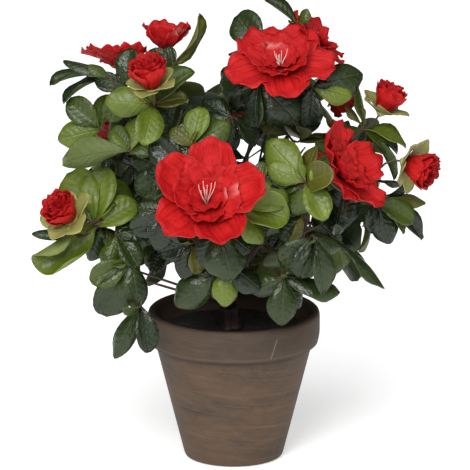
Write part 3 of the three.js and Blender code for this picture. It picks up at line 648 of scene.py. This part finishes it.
addMass("lower-right", heart=(50, 154, -60), sprays=[
    ((38, 138, -80), [(205, 34, 8, 5), (272, 38, 12, 0), (2, 48, 5, 40, 0.9), (310, 30, 0, 20)],
     "dark dark dark deep"),
    ((62, 168, -86), [(216, 34, 0, 10), (290, 46, 5, 20, 0.7), (250, 34, 5, 15), (350, 26, -10, 20)],
     "dark dark deep dark"),
    ((54, 188, -64), [(275, 30, 5, 50), (230, 30, 5, 10), (190, 28, 0, 10)], "olive dark dark"),
])
addMass("front-right", heart=(48, 212, -76), sprays=[
    ((55, 214, -86), [(137, 44, 5, 5), (159, 32, 12, 10), (302, 35, 28, 0), (12, 39, 14, 0, 1.2, "spoon")],
     "light light light olive"),
    ((57, 216, -76), [(67, 32, -5, 45), (190, 26, 0, 20), (250, 32, 0, 10)], "olive mid mid"),
    ((20, 212, -76), [(88, 20, 30, 0), (20, 34, 0, 10), (340, 30, 0, 10)], "mid dark dark"),
], buds=[((60, 215, -88), (95, 20), 9, 0)])
addMass("right", heart=(92, 200, -34), sprays=[
    ((78, 170, -36), [(82, 44, 8, 0, 1.1), (331, 58, 0, 55, 0.5), (292, 26, -8, 150), (200, 30, 0, 10)],
     "deep dark mid dark"),
    ((112, 196, -30), [(292, 35, 0, 5), (338, 34, 0, 15), (262, 26, 0, 20)], "deep mid deep"),
    ((118, 202, -22), [(309, 36, 0, 20, 0.5), (322, 50, 0, 15, 0.45), (2, 36, 0, 30, 0.6)],
     "mid deep olive"),
], blooms=[((78, 219, -62), (30, 27), 40, 0.78, 10, {"tuft": 0})], buds=[
    ((132, 229, -24), (-24, 24), 28, 22),
])
addMass("upper-right", heart=(88, 246, -8), sprays=[
    ((101, 257, -12), [(87, 39, 0, -75, 0.6), (110, 24, 0, 70, 0.7), (325, 27, 0, 40),
     (358, 40, 0, 45, 0.8)], "mid olive mid light"),
    ((103, 254, -4), [(314, 46, 0, 75, 0.6), (345, 36, -5, 50), (200, 28, 0, 20)], "dark dark mid"),
], buds=[((114, 267, -16), (62, 15), 25, 19)])
addMass("top", heart=(36, 290, -24), sprays=[
    ((23, 316, -16), [(132, 38, 0, 5, 1.15), (172, 30, 0, 60, 0.7)], "dark"),
    ((50, 334, -8), [(129, 34, 0, 65, 0.7), (60, 20, 0, 20)], "dark mid"),
    ((19, 287, -54), [(172, 38, -14, 10), (322, 44, 8, 0, 1.2), (256, 38, 5, 50, 0.8),
     (282, 36, 5, 55, 0.8)], "deep"),
    ((62, 286, -40), [(20, 43, 0, 5, 1.1), (350, 32, 10, 5), (265, 34, 5, 15), (215, 34, 0, 15)],
     "dark light deep deep"),
], blooms=[
    ((36, 301, -44), (90, 44), 41, 0.9, 6, {"tuft": 0.62}),
    ((60, 318, -2), (50, 12), 28, 0.7, 30),
    ((76, 286, 22), (-20, -30), 22, 0.6, 0),
])
addMass("centre", heart=(-24, 252, -34), sprays=[
    ((-32, 242, -82), [(82, 31, 12, 0), (36, 35, 10, 8), (140, 22, 5, 20), (200, 24, 0, 20)],
     "light mid olive dark"),
    ((-2, 262, -48), [(200, 32, 0, 10), (255, 34, 0, 15), (150, 30, 0, 15), (320, 30, 0, 20)], "deep"),
    ((-52, 250, -40), [(120, 34, 0, 15), (200, 34, 0, 10), (60, 34, 0, 15), (280, 34, 0, 15),
     (84, 32, -8, 15)], "dark mid"),
    ((-50, 222, -36), [(160, 36, 0, 10), (215, 34, 0, 10), (270, 34, 0, 15)], "dark"),
])
addMass("back-left", heart=(-58, 212, 84), ball=(8, (-64, 206, 38), (42, 46, 50)), blooms=[
    ((-60, 218, 112), (150, -62), 36, 0.9, 15),
], buds=[((-86, 196, 88), (170, -40), 27, 19)])
addMass("back-right", heart=(62, 214, 84), ball=(8, (70, 206, 38), (42, 46, 50)), blooms=[
    ((80, 216, 112), (20, -62), 32, 0.9, 50),
])
addMass("back-low", heart=(4, 190, 96), ball=(6, (4, 166, 76), (58, 28, 30)), buds=[
    ((8, 206, 118), (80, -60), 27, 19),
])
addMass("back-top", heart=(26, 270, 52), ball=(7, (12, 258, 46), (54, 34, 44)), blooms=[
    ((22, 273, 92), (95, -58), 35, 0.9, 0),
], buds=[((-30, 260, 84), (100, -64), 27, 19)])

ballTones = "dark mid deep light dark olive deep".split()
ballLeaves = 5
crownMiddle = (2, 200, 0)
# Gaps in the crown that the white ground shows through: across, up and radius
skyGaps = [(-49, 133, 13), (17, 237, 6), (56, 235, 8), (-20, 258, 8), (-93, 178, 2)]

# Leaf and petal shapes, one unit long along +Y with the face up, then bent, cupped and ruffled
leaf = {"width": 0.6, "across": 4, "rows": 8, "thick": 0.012, "shoulder": 0.58,
        "kinds": [(28, 0.45, 0.02, 0.3), (38, -0.5, 0.04, 1.7), (32, -0.3, 0.03, 3.1), (44, 0.3, 0.04, 4.6)]}
crowding = 1.1
leafBend = 32
pinwheel = 12
goldenAngle = 137.5


def blade(name, across, rows, form, bend, thick, roll=0):
    # a grid laid out by its form, thickened to a shell, marked as face or underside, then bent to an arc;
    # a roll is the radius round which its two halves turn up
    part = bmesh.new()
    grain = part.loops.layers.uv.new("grain")
    bmesh.ops.create_grid(part, x_segments=across, y_segments=rows, size=0.5)
    flat = {vert: (vert.co.x * 2, 1 - (0.5 - vert.co.y) ** crowding) for vert in part.verts}
    for face in part.faces:
        for loop in face.loops:
            side, reach = flat[loop.vert]
            loop[grain].uv = (0.5 + 0.5 * side, reach)
    for vert, (side, reach) in flat.items():
        vert.co = form(side, reach)
    bmesh.ops.solidify(part, geom=part.faces[:], thickness=thick)
    part.normal_update()
    for face in part.faces:
        if face.normal.z < 0:
            for loop in face.loops:
                loop[grain].uv.x += 2
    arc = math.radians(bend)
    for vert in part.verts:
        x, y, z = vert.co
        if roll:
            x, z = (roll - z) * math.sin(x / roll), roll - (roll - z) * math.cos(x / roll)
        angle = arc * y
        swung, drop = math.sin(angle), math.cos(angle)
        vert.co = (x, swung / arc + z * swung, (drop - 1) / arc + z * drop)
    bmesh.ops.recalc_face_normals(part, faces=part.faces)
    return meshFrom(name, part)


def rounding(side, share, corner):
    # the last part of a blade as half a disc: how far its rows narrow and how far they reach
    return math.sqrt(1 - corner * share * share), share * math.sqrt(1 - (1 - corner) * side * side)


def leafKind(name, bend, cup, wave, phase, width, across=leaf["across"], roll=0):
    # narrow at its stalk and widest well beyond the middle, with a groove along the rib
    def form(side, reach):
        shoulder = leaf["shoulder"]
        half = width / 2 * math.sin(math.pi / 2 * min(1, reach / shoulder)) ** 1.15 + 0.014
        if reach > shoulder:
            narrowed, reach = rounding(side, (reach - shoulder) / (1 - shoulder), 0.75)
            half *= narrowed
            reach = shoulder + (1 - shoulder) * reach * (1 - 0.1 * side * side)
        fold = cup * abs(side) ** 1.4 * half
        ripple = wave * side * side * math.sin(reach * 9 + phase + 1.5 * side)
        groove = -0.012 * math.exp(-(side / 0.2) ** 2)
        return side * half, reach, fold + ripple + groove

    return blade(name, across, leaf["rows"], form, bend, leaf["thick"], roll)


leafKinds = [leafKind(f"leaf-{k}", *kind, leaf["width"]) for k, kind in enumerate(leaf["kinds"])]
curledKinds = {
    "rolled": leafKind("leaf-rolled", 12, 0, 0.01, 0.5, 0.84, 12, 0.16),
    "spoon": leafKind("leaf-spoon", 26, 0, 0.012, 0.5, 0.76, 8, 0.33),
}
sepalKind = leafKind("sepal", 18, 0.25, 0.04, 0, 0.78)

petal = {"across": 12, "rows": 8, "thick": 0.013, "shoulder": 0.6, "pleats": 10}
# Three petals of each style: bend, width, phase, cupping, frill and waves
petalStyles = {
    "smooth": [(36, 0.98, 0, 0.1, 0.055, 6), (26, 0.94, 1.3, 0.2, 0.065, 7), (42, 1.02, 2.2, 0.06, 0.06, 6)],
    "frilled": [(34, 1.02, 0.4, 0.1, 0.06, 6), (22, 1, 1.9, 0.16, 0.06, 7), (42, 1.08, 3.1, 0.08, 0.06, 6)],
    "flared": [(12, 1.16, 0.6, 0.04, 0.045, 9), (18, 1.2, 2.8, 0.03, 0.05, 10),
               (6, 1.1, 4.4, 0.05, 0.045, 9)],
}


def petalKind(name, bend, width, phase, cupping, frill, waves):
    # a round lobe on a narrow claw, spooned, pleated along its length and ruffled round its margin
    def form(side, reach):
        shoulder = petal["shoulder"]
        half = width / 2 * (0.22 + 0.78 * math.sin(math.pi / 2 * min(1, reach / shoulder)) ** 1.2)
        x, y = side * half, reach
        if reach > shoulder:
            narrowed, far = rounding(side, (reach - shoulder) / (1 - shoulder), 0.5)
            x *= narrowed
            y = shoulder + (1 - shoulder) * far
        angle = math.atan2((y - shoulder) / (1 - shoulder), x / width * 2)
        rim = min(1, math.hypot(x / width * 2, (y - shoulder) / (1 - shoulder)))
        spread = min(1, reach * 1.5)
        spoon = cupping * rim ** 2.4 * spread
        ruffle = frill * rim ** 3 * spread * math.sin(angle * waves + phase * 2)
        groove = 0.02 * math.exp(-(side / 0.2) ** 2) * reach
        pleat = 0.016 * reach * math.sin(side * petal["pleats"] + phase) - groove
        shrink = 1 + 0.03 * rim ** 4 * math.sin(angle * 8 + phase * 5)
        return x * shrink, shoulder + (y - shoulder) * shrink, spoon + ruffle + pleat

    return blade(name, petal["across"], petal["rows"], form, bend, petal["thick"])


petalKinds = {style: [petalKind(f"petal-{style}-{k}", *kind) for k, kind in enumerate(kinds)]
              for style, kinds in petalStyles.items()}


def bladeMatrix(root, along, face, length, breadth):
    side = along.cross(face)
    matrix = Matrix((side * length * breadth, along * length, face * length)).transposed().to_4x4()
    matrix.translation = root
    return matrix


def arcPoint(root, along, face, length, reach):
    angle = math.radians(leafBend) * reach
    radius = length / math.radians(leafBend)
    return root + along * radius * math.sin(angle) - face * radius * (1 - math.cos(angle))


def addEgg(target, frame, radius, widths, sides, rings):
    matrix = frame @ Matrix.Diagonal((*widths, 1))
    bmesh.ops.create_uvsphere(target, u_segments=sides, v_segments=rings, radius=radius, matrix=matrix)


def coarse(points, faces):
    middle = sum(points, Vector()) / len(points)
    return BVHTree.FromPolygons(points, faces), middle, max((point - middle).length for point in points)


class Space:
    # what leaves keep clear of: coarse shapes of the pot and of what has grown
    def __init__(self):
        self.solids = []

    def add(self, points, faces, owner):
        self.solids.append((*coarse(points, faces), owner))

    def isFree(self, points, faces, owner, kinds=None):
        tree, middle, reach = coarse(points, faces)
        near = (solid for solid in self.solids if solid[3] != owner and (not kinds or solid[3][0] in kinds)
                and (solid[1] - middle).length < solid[2] + reach)
        return not any(tree.overlap(solid[0]) for solid in near)


space = Space()
around = 28
potRows = [(pot["neck"], rimFoot), (pot["rim"] + 1, rimFoot + 6), (pot["rim"] + 1, pot["height"] + 1),
           (innerRim, pot["height"] + 1), (innerRim - 4, filling["level"] + 2), (0.1, filling["level"] + 2)]
turns = [2 * math.pi * k / around for k in range(around)]
potPoints = [Vector((radius * math.cos(turn), radius * math.sin(turn), height))
             for radius, height in potRows for turn in turns]
potFaces = [(row + k, row + (k + 1) % around, row + around + (k + 1) % around, row + around + k)
            for row in range(0, around * 5, around) for k in range(around)]
space.add(potPoints, potFaces, ("pot",))


def leafShape(root, one):
    along, face, length, breadth = one
    side = along.cross(face) * length * breadth * leaf["width"] * 0.5
    start = root + along * length * 0.12
    points = [start]
    for reach, share in ((0.38, 0.72), (0.72, 0.95)):
        middle = arcPoint(root, along, face, length, reach)
        points += [middle + side * share, middle - side * share]
    points.append(arcPoint(root, along, face, length, 0.98))
    return points, [(0, 1, 2), (1, 3, 4, 2), (3, 5, 4)]


def coversSky(root, along, length):
    for gapAcross, gapUp, radius in skyGaps:
        for share in (0.3, 0.6, 0.9):
            point = root + along * length * share
            if math.hypot(point.x - gapAcross, point.dot(pictureUp) - gapUp) < radius + length * 0.22:
                return True
    return False


leafPieces = {name: bmesh.new() for name in tones}
twigs = bmesh.new()
petals = bmesh.new()
stamens = bmesh.new()
leafCount = 0


# Root and tip radius, sides and steps of each twig
twigKinds = {"stem": (1.45, 1.15, 7, 8), "twig": (1.15, 0.8, 6, 6), "shoot": (1.15, 0.9, 7, 6),
             "side": (0.75, 0.55, 5, 3), "stalk": (0.62, 0.4, 5, 2)}


def addTwig(kind, *ends):
    root, tip, sides, steps = twigKinds[kind]
    curve = Curve(*ends)
    join(twigs, tube(curve, tapered(root, tip), sides, steps))
    return curve


def addLeaf(root, one, owner, tone, kind):
    global leafCount
    along, face, length, breadth = one
    joinCopy(leafPieces[tone], kind, bladeMatrix(root, *one))
    addTwig("stalk", root, along, arcPoint(root, along, face, length, 0.16) - face * 0.35)
    space.add(*leafShape(root, one), owner)
    leafCount += 1


# How a leaf is moved: tries, degrees and share of its length at each, and what it has to keep clear of
hiddenTries = [(5, 9, 0.05, None)]
frontTries = [(8, 6, 0.03, None), (7, 10, 0.03, ("bloom", "pot"))]


def settle(root, one, owner, hidden):
    # swings and shortens a leaf until it is free; a front leaf may touch other leaves
    along, face, length, breadth = one
    hinge = along.cross(face).normalized()
    for tries, degrees, shrink, kinds in hiddenTries if hidden else frontTries:
        for attempt in range(tries):
            swing = degrees * attempt * (1 if attempt % 2 else -1)
            moved = (turned(along, hinge, swing), turned(face, hinge, swing),
                     length * (1 - shrink * attempt), breadth)
            if hidden and coversSky(root, moved[0], moved[2]):
                continue
            if space.isFree(*leafShape(root, moved), owner, kinds):
                return moved
    return None


def listedSpray(spray, draw):
    spot, fan, sprayTones = spray
    leaves = []
    for clock, length, lean, turn, *rest in fan:
        along = heading((clock + jitter(draw, 4), lean))
        tip = turn if math.cos(math.radians(clock)) < 0 else -turn
        face = turned(squareTo(toViewer, along), along, tip - pinwheel)
        leaves.append((along, face, length, rest[0] if rest else 1))
    axis = sum((one[0] for one in leaves), Vector()) + toViewer + upright * 0.8
    shapes = [one[5] if len(one) > 5 else None for one in fan]
    return {"at": place(spot), "axis": axis.normalized(), "fan": leaves, "tones": sprayTones.split(),
            "shapes": shapes}


def ballSprays(ball, draw):
    # sprays round a ball in a golden spiral, facing away from the crown's middle
    sprays = []
    count, middle, size = ball
    for k in range(count):
        depth = 1 - 2 * (k + 0.3 + 0.4 * draw()) / count
        spread = math.sqrt(1 - depth * depth)
        angle = math.radians(k * goldenAngle + 20 * draw())
        across = middle[0] + size[0] * spread * math.cos(angle)
        up = middle[1] + size[1] * spread * math.sin(angle)
        spot = place((across, up, middle[2] + size[2] * depth))
        axis = ((spot - place(crownMiddle)).normalized() + upright * 0.45).normalized()
        aside = squareTo(acrossAxis, axis)
        start = 360 * draw()
        fan = []
        for j in range(ballLeaves):
            outward = turned(aside, axis, start + 360 * (j + 0.2 * draw()) / ballLeaves)
            along = (outward * 0.86 + axis * (0.35 + 0.3 * draw())).normalized()
            face = turned(squareTo(axis, along), along, -pinwheel)
            fan.append((along, face, 33 + 12 * draw(), 1))
        tone = ballTones[k % len(ballTones)]
        sprays.append({"at": spot, "axis": axis, "fan": fan, "tones": [tone], "ball": True})
    return sprays


# Blooms: rings of ruffled petals, from wide outer ones to a steep inner cup, round a tuft of pale stamens
bloomRings = [
    {"count": 5, "reach": 1.0, "rise": 10, "shift": 36, "breadth": 0.84, "up": 0.0},
    {"count": 5, "reach": 0.66, "rise": 20, "shift": 2, "breadth": 0.94, "up": 0.04},
    {"count": 5, "reach": 0.42, "rise": 38, "shift": 38, "breadth": 1.0, "up": 0.05},
]
tuft = {"count": 11, "fan": 84, "thread": (0.55, 0.3), "head": 0.5}
lobes = (0.72, 1, 1) * 5


def addBloom(bloom, draw):
    at, facing, radius, opened, spin, *rest = bloom
    more = rest[0] if rest else {}
    axis, centre = heading(facing), place(at)
    aside = asideOf(axis)
    slope = 58 - 46 * opened
    kinds = petalKinds["flared" if opened < 0.62 else more.get("style", "frilled")]
    widened = math.cos(math.radians(slope) * 0.6)
    for ring in bloomRings:
        for k in range(ring["count"]):
            bearing = spin + ring["shift"] + 360 * k / ring["count"] + jitter(draw, 8)
            outward = turned(aside, axis, bearing)
            rise = math.radians(min(slope + ring["rise"] + jitter(draw, 10), 84))
            along, face = swept(outward, axis, rise), swept(axis, -outward, rise)
            length = radius * more.get("reach", 1) * ring["reach"] * (0.97 + 0.08 * draw()) / widened
            root = centre + axis * (radius * ring["up"]) + outward * 0.6
            kind = anyOf(kinds, draw, 997)
            joinCopy(petals, kind, bladeMatrix(root, along, face, length, ring["breadth"]))
    tall = more.get("tuft", 1)
    for k in range(tuft["count"] if tall else 0):
        bearing = tuft["fan"] * (k / (tuft["count"] - 1) - 0.5) + 16 * draw()
        lean = turned(aside, axis, bearing) * radius * (0.1 + 0.22 * draw())
        end = centre + axis * radius * (0.3 + 0.14 * draw()) * tall + lean
        root = centre + turned(aside, axis, bearing * 3) * radius * 0.04
        thread = Curve(root, turned(axis, aside, bearing * 0.8), end, (aside + axis * 0.6).normalized())
        join(stamens, tube(thread, tapered(*tuft["thread"]), 5, 6))
        matrix = Matrix.Translation(end)
        bmesh.ops.create_icosphere(stamens, subdivisions=1, radius=tuft["head"], matrix=matrix)
    throat = standing(centre + axis * radius * 0.01, axis, aside)
    addEgg(petals, throat, radius * 0.13, (1, 1, 0.35), 16, 8)
    # the outline that leaves keep clear of, with a notch between two petals
    count = len(lobes)
    faces = [(0, k + 1, (k + 1) % count + 1) for k in range(count)]
    reach = math.radians(slope)
    for lift in (-2.5, 3.5):
        points = [centre + axis * lift]
        for k, lobe in enumerate(lobes):
            way = swept(turned(aside, axis, spin + 360 / count * k), axis, reach)
            points.append(points[0] + way * radius * lobe)
        space.add(points, faces, ("bloom", centre.x, centre.z))


# A bud's outline, and its layers of petals: size, height, turn, number and half the angle of each
budProfile = [(0, 0.08), (0.35, 0.3), (0.75, 0.48), (1.1, 0.56)]
budLayers = [(1.0, 0.9, 0, 5, 52), (0.84, 1.0, 36, 5, 52), (0.62, 1.05, 10, 5, 52), (0.36, 1.02, 50, 3, 80)]
budThick = 0.35


def budRadius(reach):
    for (low, near), (high, far) in zip(budProfile, budProfile[1:]):
        if reach <= high:
            share = (reach - low) / (high - low)
            return near + (far - near) * share * share * (3 - 2 * share)
    return budProfile[-1][1]


def addBud(bud, draw):
    # a cup of wrapped petals over pale sepals; with no sepals it is a green tip
    at, facing, length, sepals = bud
    axis = heading(facing)
    centre = place(at) - axis * 2
    aside = asideOf(axis)
    stand = standing(centre, axis, aside)
    if not sepals:
        middle = stand @ Matrix.Translation((0, 0, length * 0.5))
        addEgg(leafPieces["light"], middle, length * 0.55, (0.45, 0.45, 1), 10, 8)
        return
    for scale, tall, shift, count, span in budLayers:
        for k in range(count):
            bearing = shift + 360 * k / count + jitter(draw, 8)
            phase = 6 * draw()
            part = bmesh.new()
            grain = part.loops.layers.uv.new("grain")
            bmesh.ops.create_grid(part, x_segments=10, y_segments=8, size=0.5, calc_uvs=True)
            for vert in part.verts:
                side, reach = vert.co.x * 2, vert.co.y + 0.5
                width = 0.45 + 0.55 * math.sin(math.pi / 2 * min(1, reach / 0.7)) - 0.3 * max(0, reach - 0.75)
                angle = math.radians(bearing + side * span * width)
                wrap = budRadius(reach * tall) * scale * (1 + 0.05 * side)
                ripple = 0.05 * math.sin(side * 6 + phase) + 0.02 * math.sin(side * 13 + phase * 2)
                wrap += reach ** 2 * ripple
                lift = 0.03 * reach ** 3 * math.sin(side * 8 + phase)
                height = reach * tall - 0.16 * side * side * reach ** 3 + lift
                vert.co = [size * length for size in (math.cos(angle) * wrap, math.sin(angle) * wrap, height)]
            bmesh.ops.solidify(part, geom=part.faces[:], thickness=budThick)
            bmesh.ops.recalc_face_normals(part, faces=part.faces)
            bmesh.ops.transform(part, matrix=stand, verts=part.verts)
            join(petals, part)
    for k in range(5):
        outward = turned(aside, axis, 72 * k + 30 + 10 * draw())
        along = (outward * (0.95 + 0.3 * draw()) + axis * 0.72).normalized()
        matrix = bladeMatrix(centre, along, squareTo(axis, along), sepals * (1.1 + 0.2 * draw()), 1)
        joinCopy(leafPieces["calyx"], sepalKind, matrix)
    cone = standing(centre + axis * 1.2, axis, aside)
    bmesh.ops.create_cone(leafPieces["calyx"], cap_ends=True, segments=10, radius1=1.2, radius2=length * 0.24,
                          depth=5, matrix=cone)
    ring = [centre + axis * length * 0.6 + turned(aside, axis, 45 * k) * length * 0.55 for k in range(8)]
    faces = [(k, (k + 1) % 8, 8) for k in range(8)] + [(k, (k + 1) % 8, 9) for k in range(8)]
    space.add(ring + [centre, centre + axis * length], faces, ("bloom", centre.x, centre.z, "bud"))


# Growth: stems, twigs, blooms and buds first, then the leaves, then finer twigs with small leaves
seeds = {"mass": (101, 37), "bloom": 9001, "leaf": (5003, 61), "young": (7001, 83)}


def streamFor(stage, index):
    first, step = seeds[stage]
    return seededStream(first + step * index)


grown = []
for index, (name, mass) in enumerate(masses.items()):
    draw = streamFor("mass", index)
    spot, along = tips[name.replace("foliage", "bough")]
    stem = addTwig("stem", spot + along * clearance, along, place(mass["heart"]))
    ends = [listedSpray(spray, draw) for spray in mass.get("sprays", [])]
    if "ball" in mass:
        ends += ballSprays(mass["ball"], draw)
    for kind in ("blooms", "buds"):
        ends += [{"at": place(one[0]), "axis": heading(one[1]), kind: one} for one in mass.get(kind, [])]
    grown.append((name, draw, stem, ends))

for name, draw, stem, ends in grown:
    for order, end in enumerate(ends):
        share = 0.3 + 0.68 * (order + 0.8 * draw()) / len(ends)
        start = stem.at(share)
        leaving = ((end["at"] - start).normalized() + stem.along(share) * 0.35).normalized()
        end["twig"] = addTwig("twig", start, leaving, end["at"], end["axis"])
    fine = seededStream(seeds["bloom"] + len(name))
    for end in ends:
        if "blooms" in end:
            addBloom(end["blooms"], fine)
        if "buds" in end:
            addBud(end["buds"], fine)

# Two bare shoots from the foot of a main bough to the hanging leaves
shoots = [("left", 0.04, (-84, 147, -58)), ("left", 0.01, (-84, 141, -56))]
for name, share, tip in shoots:
    start, end = mainCurves[name].at(share), place(tip)
    addTwig("shoot", start, (end - start).normalized(), end)

growth = {"whorlStep": 2, "youngShare": 0.45, "youngFront": 1, "youngBall": 3, "sideTwig": 14, "sideLeaf": 22,
          "tipBud": 3.6, "behind": 0.1}
sprayEnds = [[(order, end) for order, end in enumerate(ends) if "fan" in end] for *rest, ends in grown]
for index, ends in enumerate(sprayEnds):
    fine = streamFor("leaf", index)
    for order, end in ends:
        hidden = end.get("ball", False)
        owner = (index, order)
        back = (end["twig"].at(0.9) - end["at"]).normalized()
        for k, one in enumerate(end["fan"]):
            root = end["at"] + back * growth["whorlStep"] * (0.3 + 0.5 * k)
            settled = settle(root, one, owner, hidden)
            if settled:
                kind = anyOf(leafKinds, fine)
                listed = end["shapes"][k] if "shapes" in end else None
                tone = end["tones"][k % len(end["tones"])]
                addLeaf(root, settled, owner, tone, curledKinds.get(listed, kind))

for index, ends in enumerate(sprayEnds):
    fine = streamFor("young", index)
    for order, end in ends:
        spot, axis, hidden = end["at"], end["axis"], end.get("ball", False)
        aside = asideOf(axis)
        size = sum(one[2] for one in end["fan"]) / len(end["fan"])
        for k in range(growth["youngBall"] if hidden else growth["youngFront"]):
            outward = turned(aside, axis, 360 * fine())
            along = (outward * (0.5 + 0.3 * fine()) + axis).normalized()
            length = size * growth["youngShare"] * (0.8 + 0.4 * fine())
            settled = settle(spot, (along, squareTo(axis, along), length, 0.85), (index, order), True)
            if settled:
                tone = anyOf(end["tones"], fine, 97)
                tone = "mid" if tone == "dark" and fine() < 0.4 else tone
                addLeaf(spot, settled, (index, order), tone, anyOf(leafKinds, fine))
        for share in (0.45, 0.72) if hidden else (0.4,):
            start = end["twig"].at(share)
            along = end["twig"].along(share)
            outward = turned(asideOf(along), along, 360 * fine())
            way = (outward + along * 0.8).normalized()
            towards = way.dot(toViewer) + growth["behind"]
            if not hidden and towards > 0:
                way = (way - toViewer * 2 * towards).normalized()
            tip = start + way * growth["sideTwig"] * (0.8 + 0.4 * fine())
            owner = (index, order, share)
            leaves = []
            for k in range(3):
                bearing = turned(asideOf(way), way, 120 * k + 60 * fine())
                along = (bearing * 0.75 + way * 0.6).normalized()
                length = growth["sideLeaf"] * (0.8 + 0.5 * fine())
                face = squareTo(way + upright * 0.4, along)
                leaves.append(settle(tip, (along, face, length, 0.95), owner, True))
            leaves = [one for one in leaves if one]
            if leaves:
                addTwig("side", start, way, tip)
            for one in leaves:
                tone = end["tones"][0] if hidden else "deep"
                addLeaf(tip, one, owner, tone, anyOf(leafKinds, fine))
        tipBud = standing(spot + axis * 1.5, axis, aside)
        addEgg(leafPieces[end["tones"][0]], tipBud, growth["tipBud"] / 2, (0.4, 0.4, 1), 8, 6)
print("grown", leafCount, "leaves")

for mesh in (*leafKinds, *curledKinds.values(), sepalKind, *sum(petalKinds.values(), [])):
    bpy.data.meshes.remove(mesh)

foliageNodes = list(masses)
for tone, part in leafPieces.items():
    finishPiece("leaves-" + tone, part, leafFinish(tone), foliageNodes)
finishPiece("petals", petals, petalFinish(), foliageNodes)
stamenFinish = plainFinish("stamen", paint(214, 150, 142), paint(232, 192, 180), 0.5, 300, 0.0002)
finishPiece("stamens", stamens, stamenFinish, foliageNodes)
twigFinish = plainFinish("twig", paint(52, 34, 30), paint(86, 62, 46), 0.5, 160, 0.0004)
finishPiece("twigs", twigs, twigFinish, foliageNodes)

# Floor, light and camera
studio = {"size": 6, "level": -0.0003, "sky": 0.19, "glow": 0.47}
ground = bmesh.new()
bmesh.ops.create_grid(ground, x_segments=1, y_segments=1, size=studio["size"])
floor = addObject("floor", meshFrom("floor", ground))
floor.location.z = studio["level"]
floorFinish = Finish("pale floor", {"Base Color": (0.93, 0.93, 0.93, 1), "Roughness": 0.9,
                                    "Emission Color": (1, 1, 1, 1), "Emission Strength": studio["glow"]})
floor.data.materials.append(floorFinish.material)

world = bpy.data.worlds.new("studio")
bpy.context.scene.world = world
world.use_nodes = True
sky = world.node_tree.nodes["Background"].inputs
sky["Color"].default_value = (1, 1, 1, 1)
sky["Strength"].default_value = studio["sky"]


def aimed(name, data, spot, way):
    # hangs a lamp or the camera at a spot and turns it along a heading
    holder = addObject(name, data)
    holder.location = spot
    holder.rotation_euler = way.to_track_quat("-Z", "Y").to_euler()
    return holder


daylight = {"way": (0.15, 0.65, -1), "power": 1.9, "spread": 60}
sun = bpy.data.lights.new("daylight", "SUN")
sun.energy = daylight["power"]
sun.angle = math.radians(daylight["spread"])
aimed("daylight", sun, (0, 0, 0), Vector(daylight["way"]))

lamps = {
    "key": {"at": (-0.4, -1.9, 1.3), "size": 0.8, "power": 27},
    "fill": {"at": (1.5, -1.3, 0.9), "size": 0.8, "power": 3.4},
}
for name, lamp in lamps.items():
    light = bpy.data.lights.new(name, "AREA")
    light.shape = "DISK"
    light.size = lamp["size"]
    light.energy = lamp["power"]
    aimed(name, light, lamp["at"], Vector((0, 0, 0.2)) - Vector(lamp["at"]))

lens = bpy.data.cameras.new("camera")
lens.sensor_width = view["sensor"]
lens.lens = view["sensor"] * view["distance"] / view["width"]
lens.clip_end = view["far"]
watched = Vector(view["aim"]) * 0.001
bpy.context.scene.camera = aimed("camera", lens, watched + toViewer * view["distance"] * 0.001, -toViewer)
bpy.context.scene.view_settings.view_transform = "Standard"
print("floor, light and camera done")
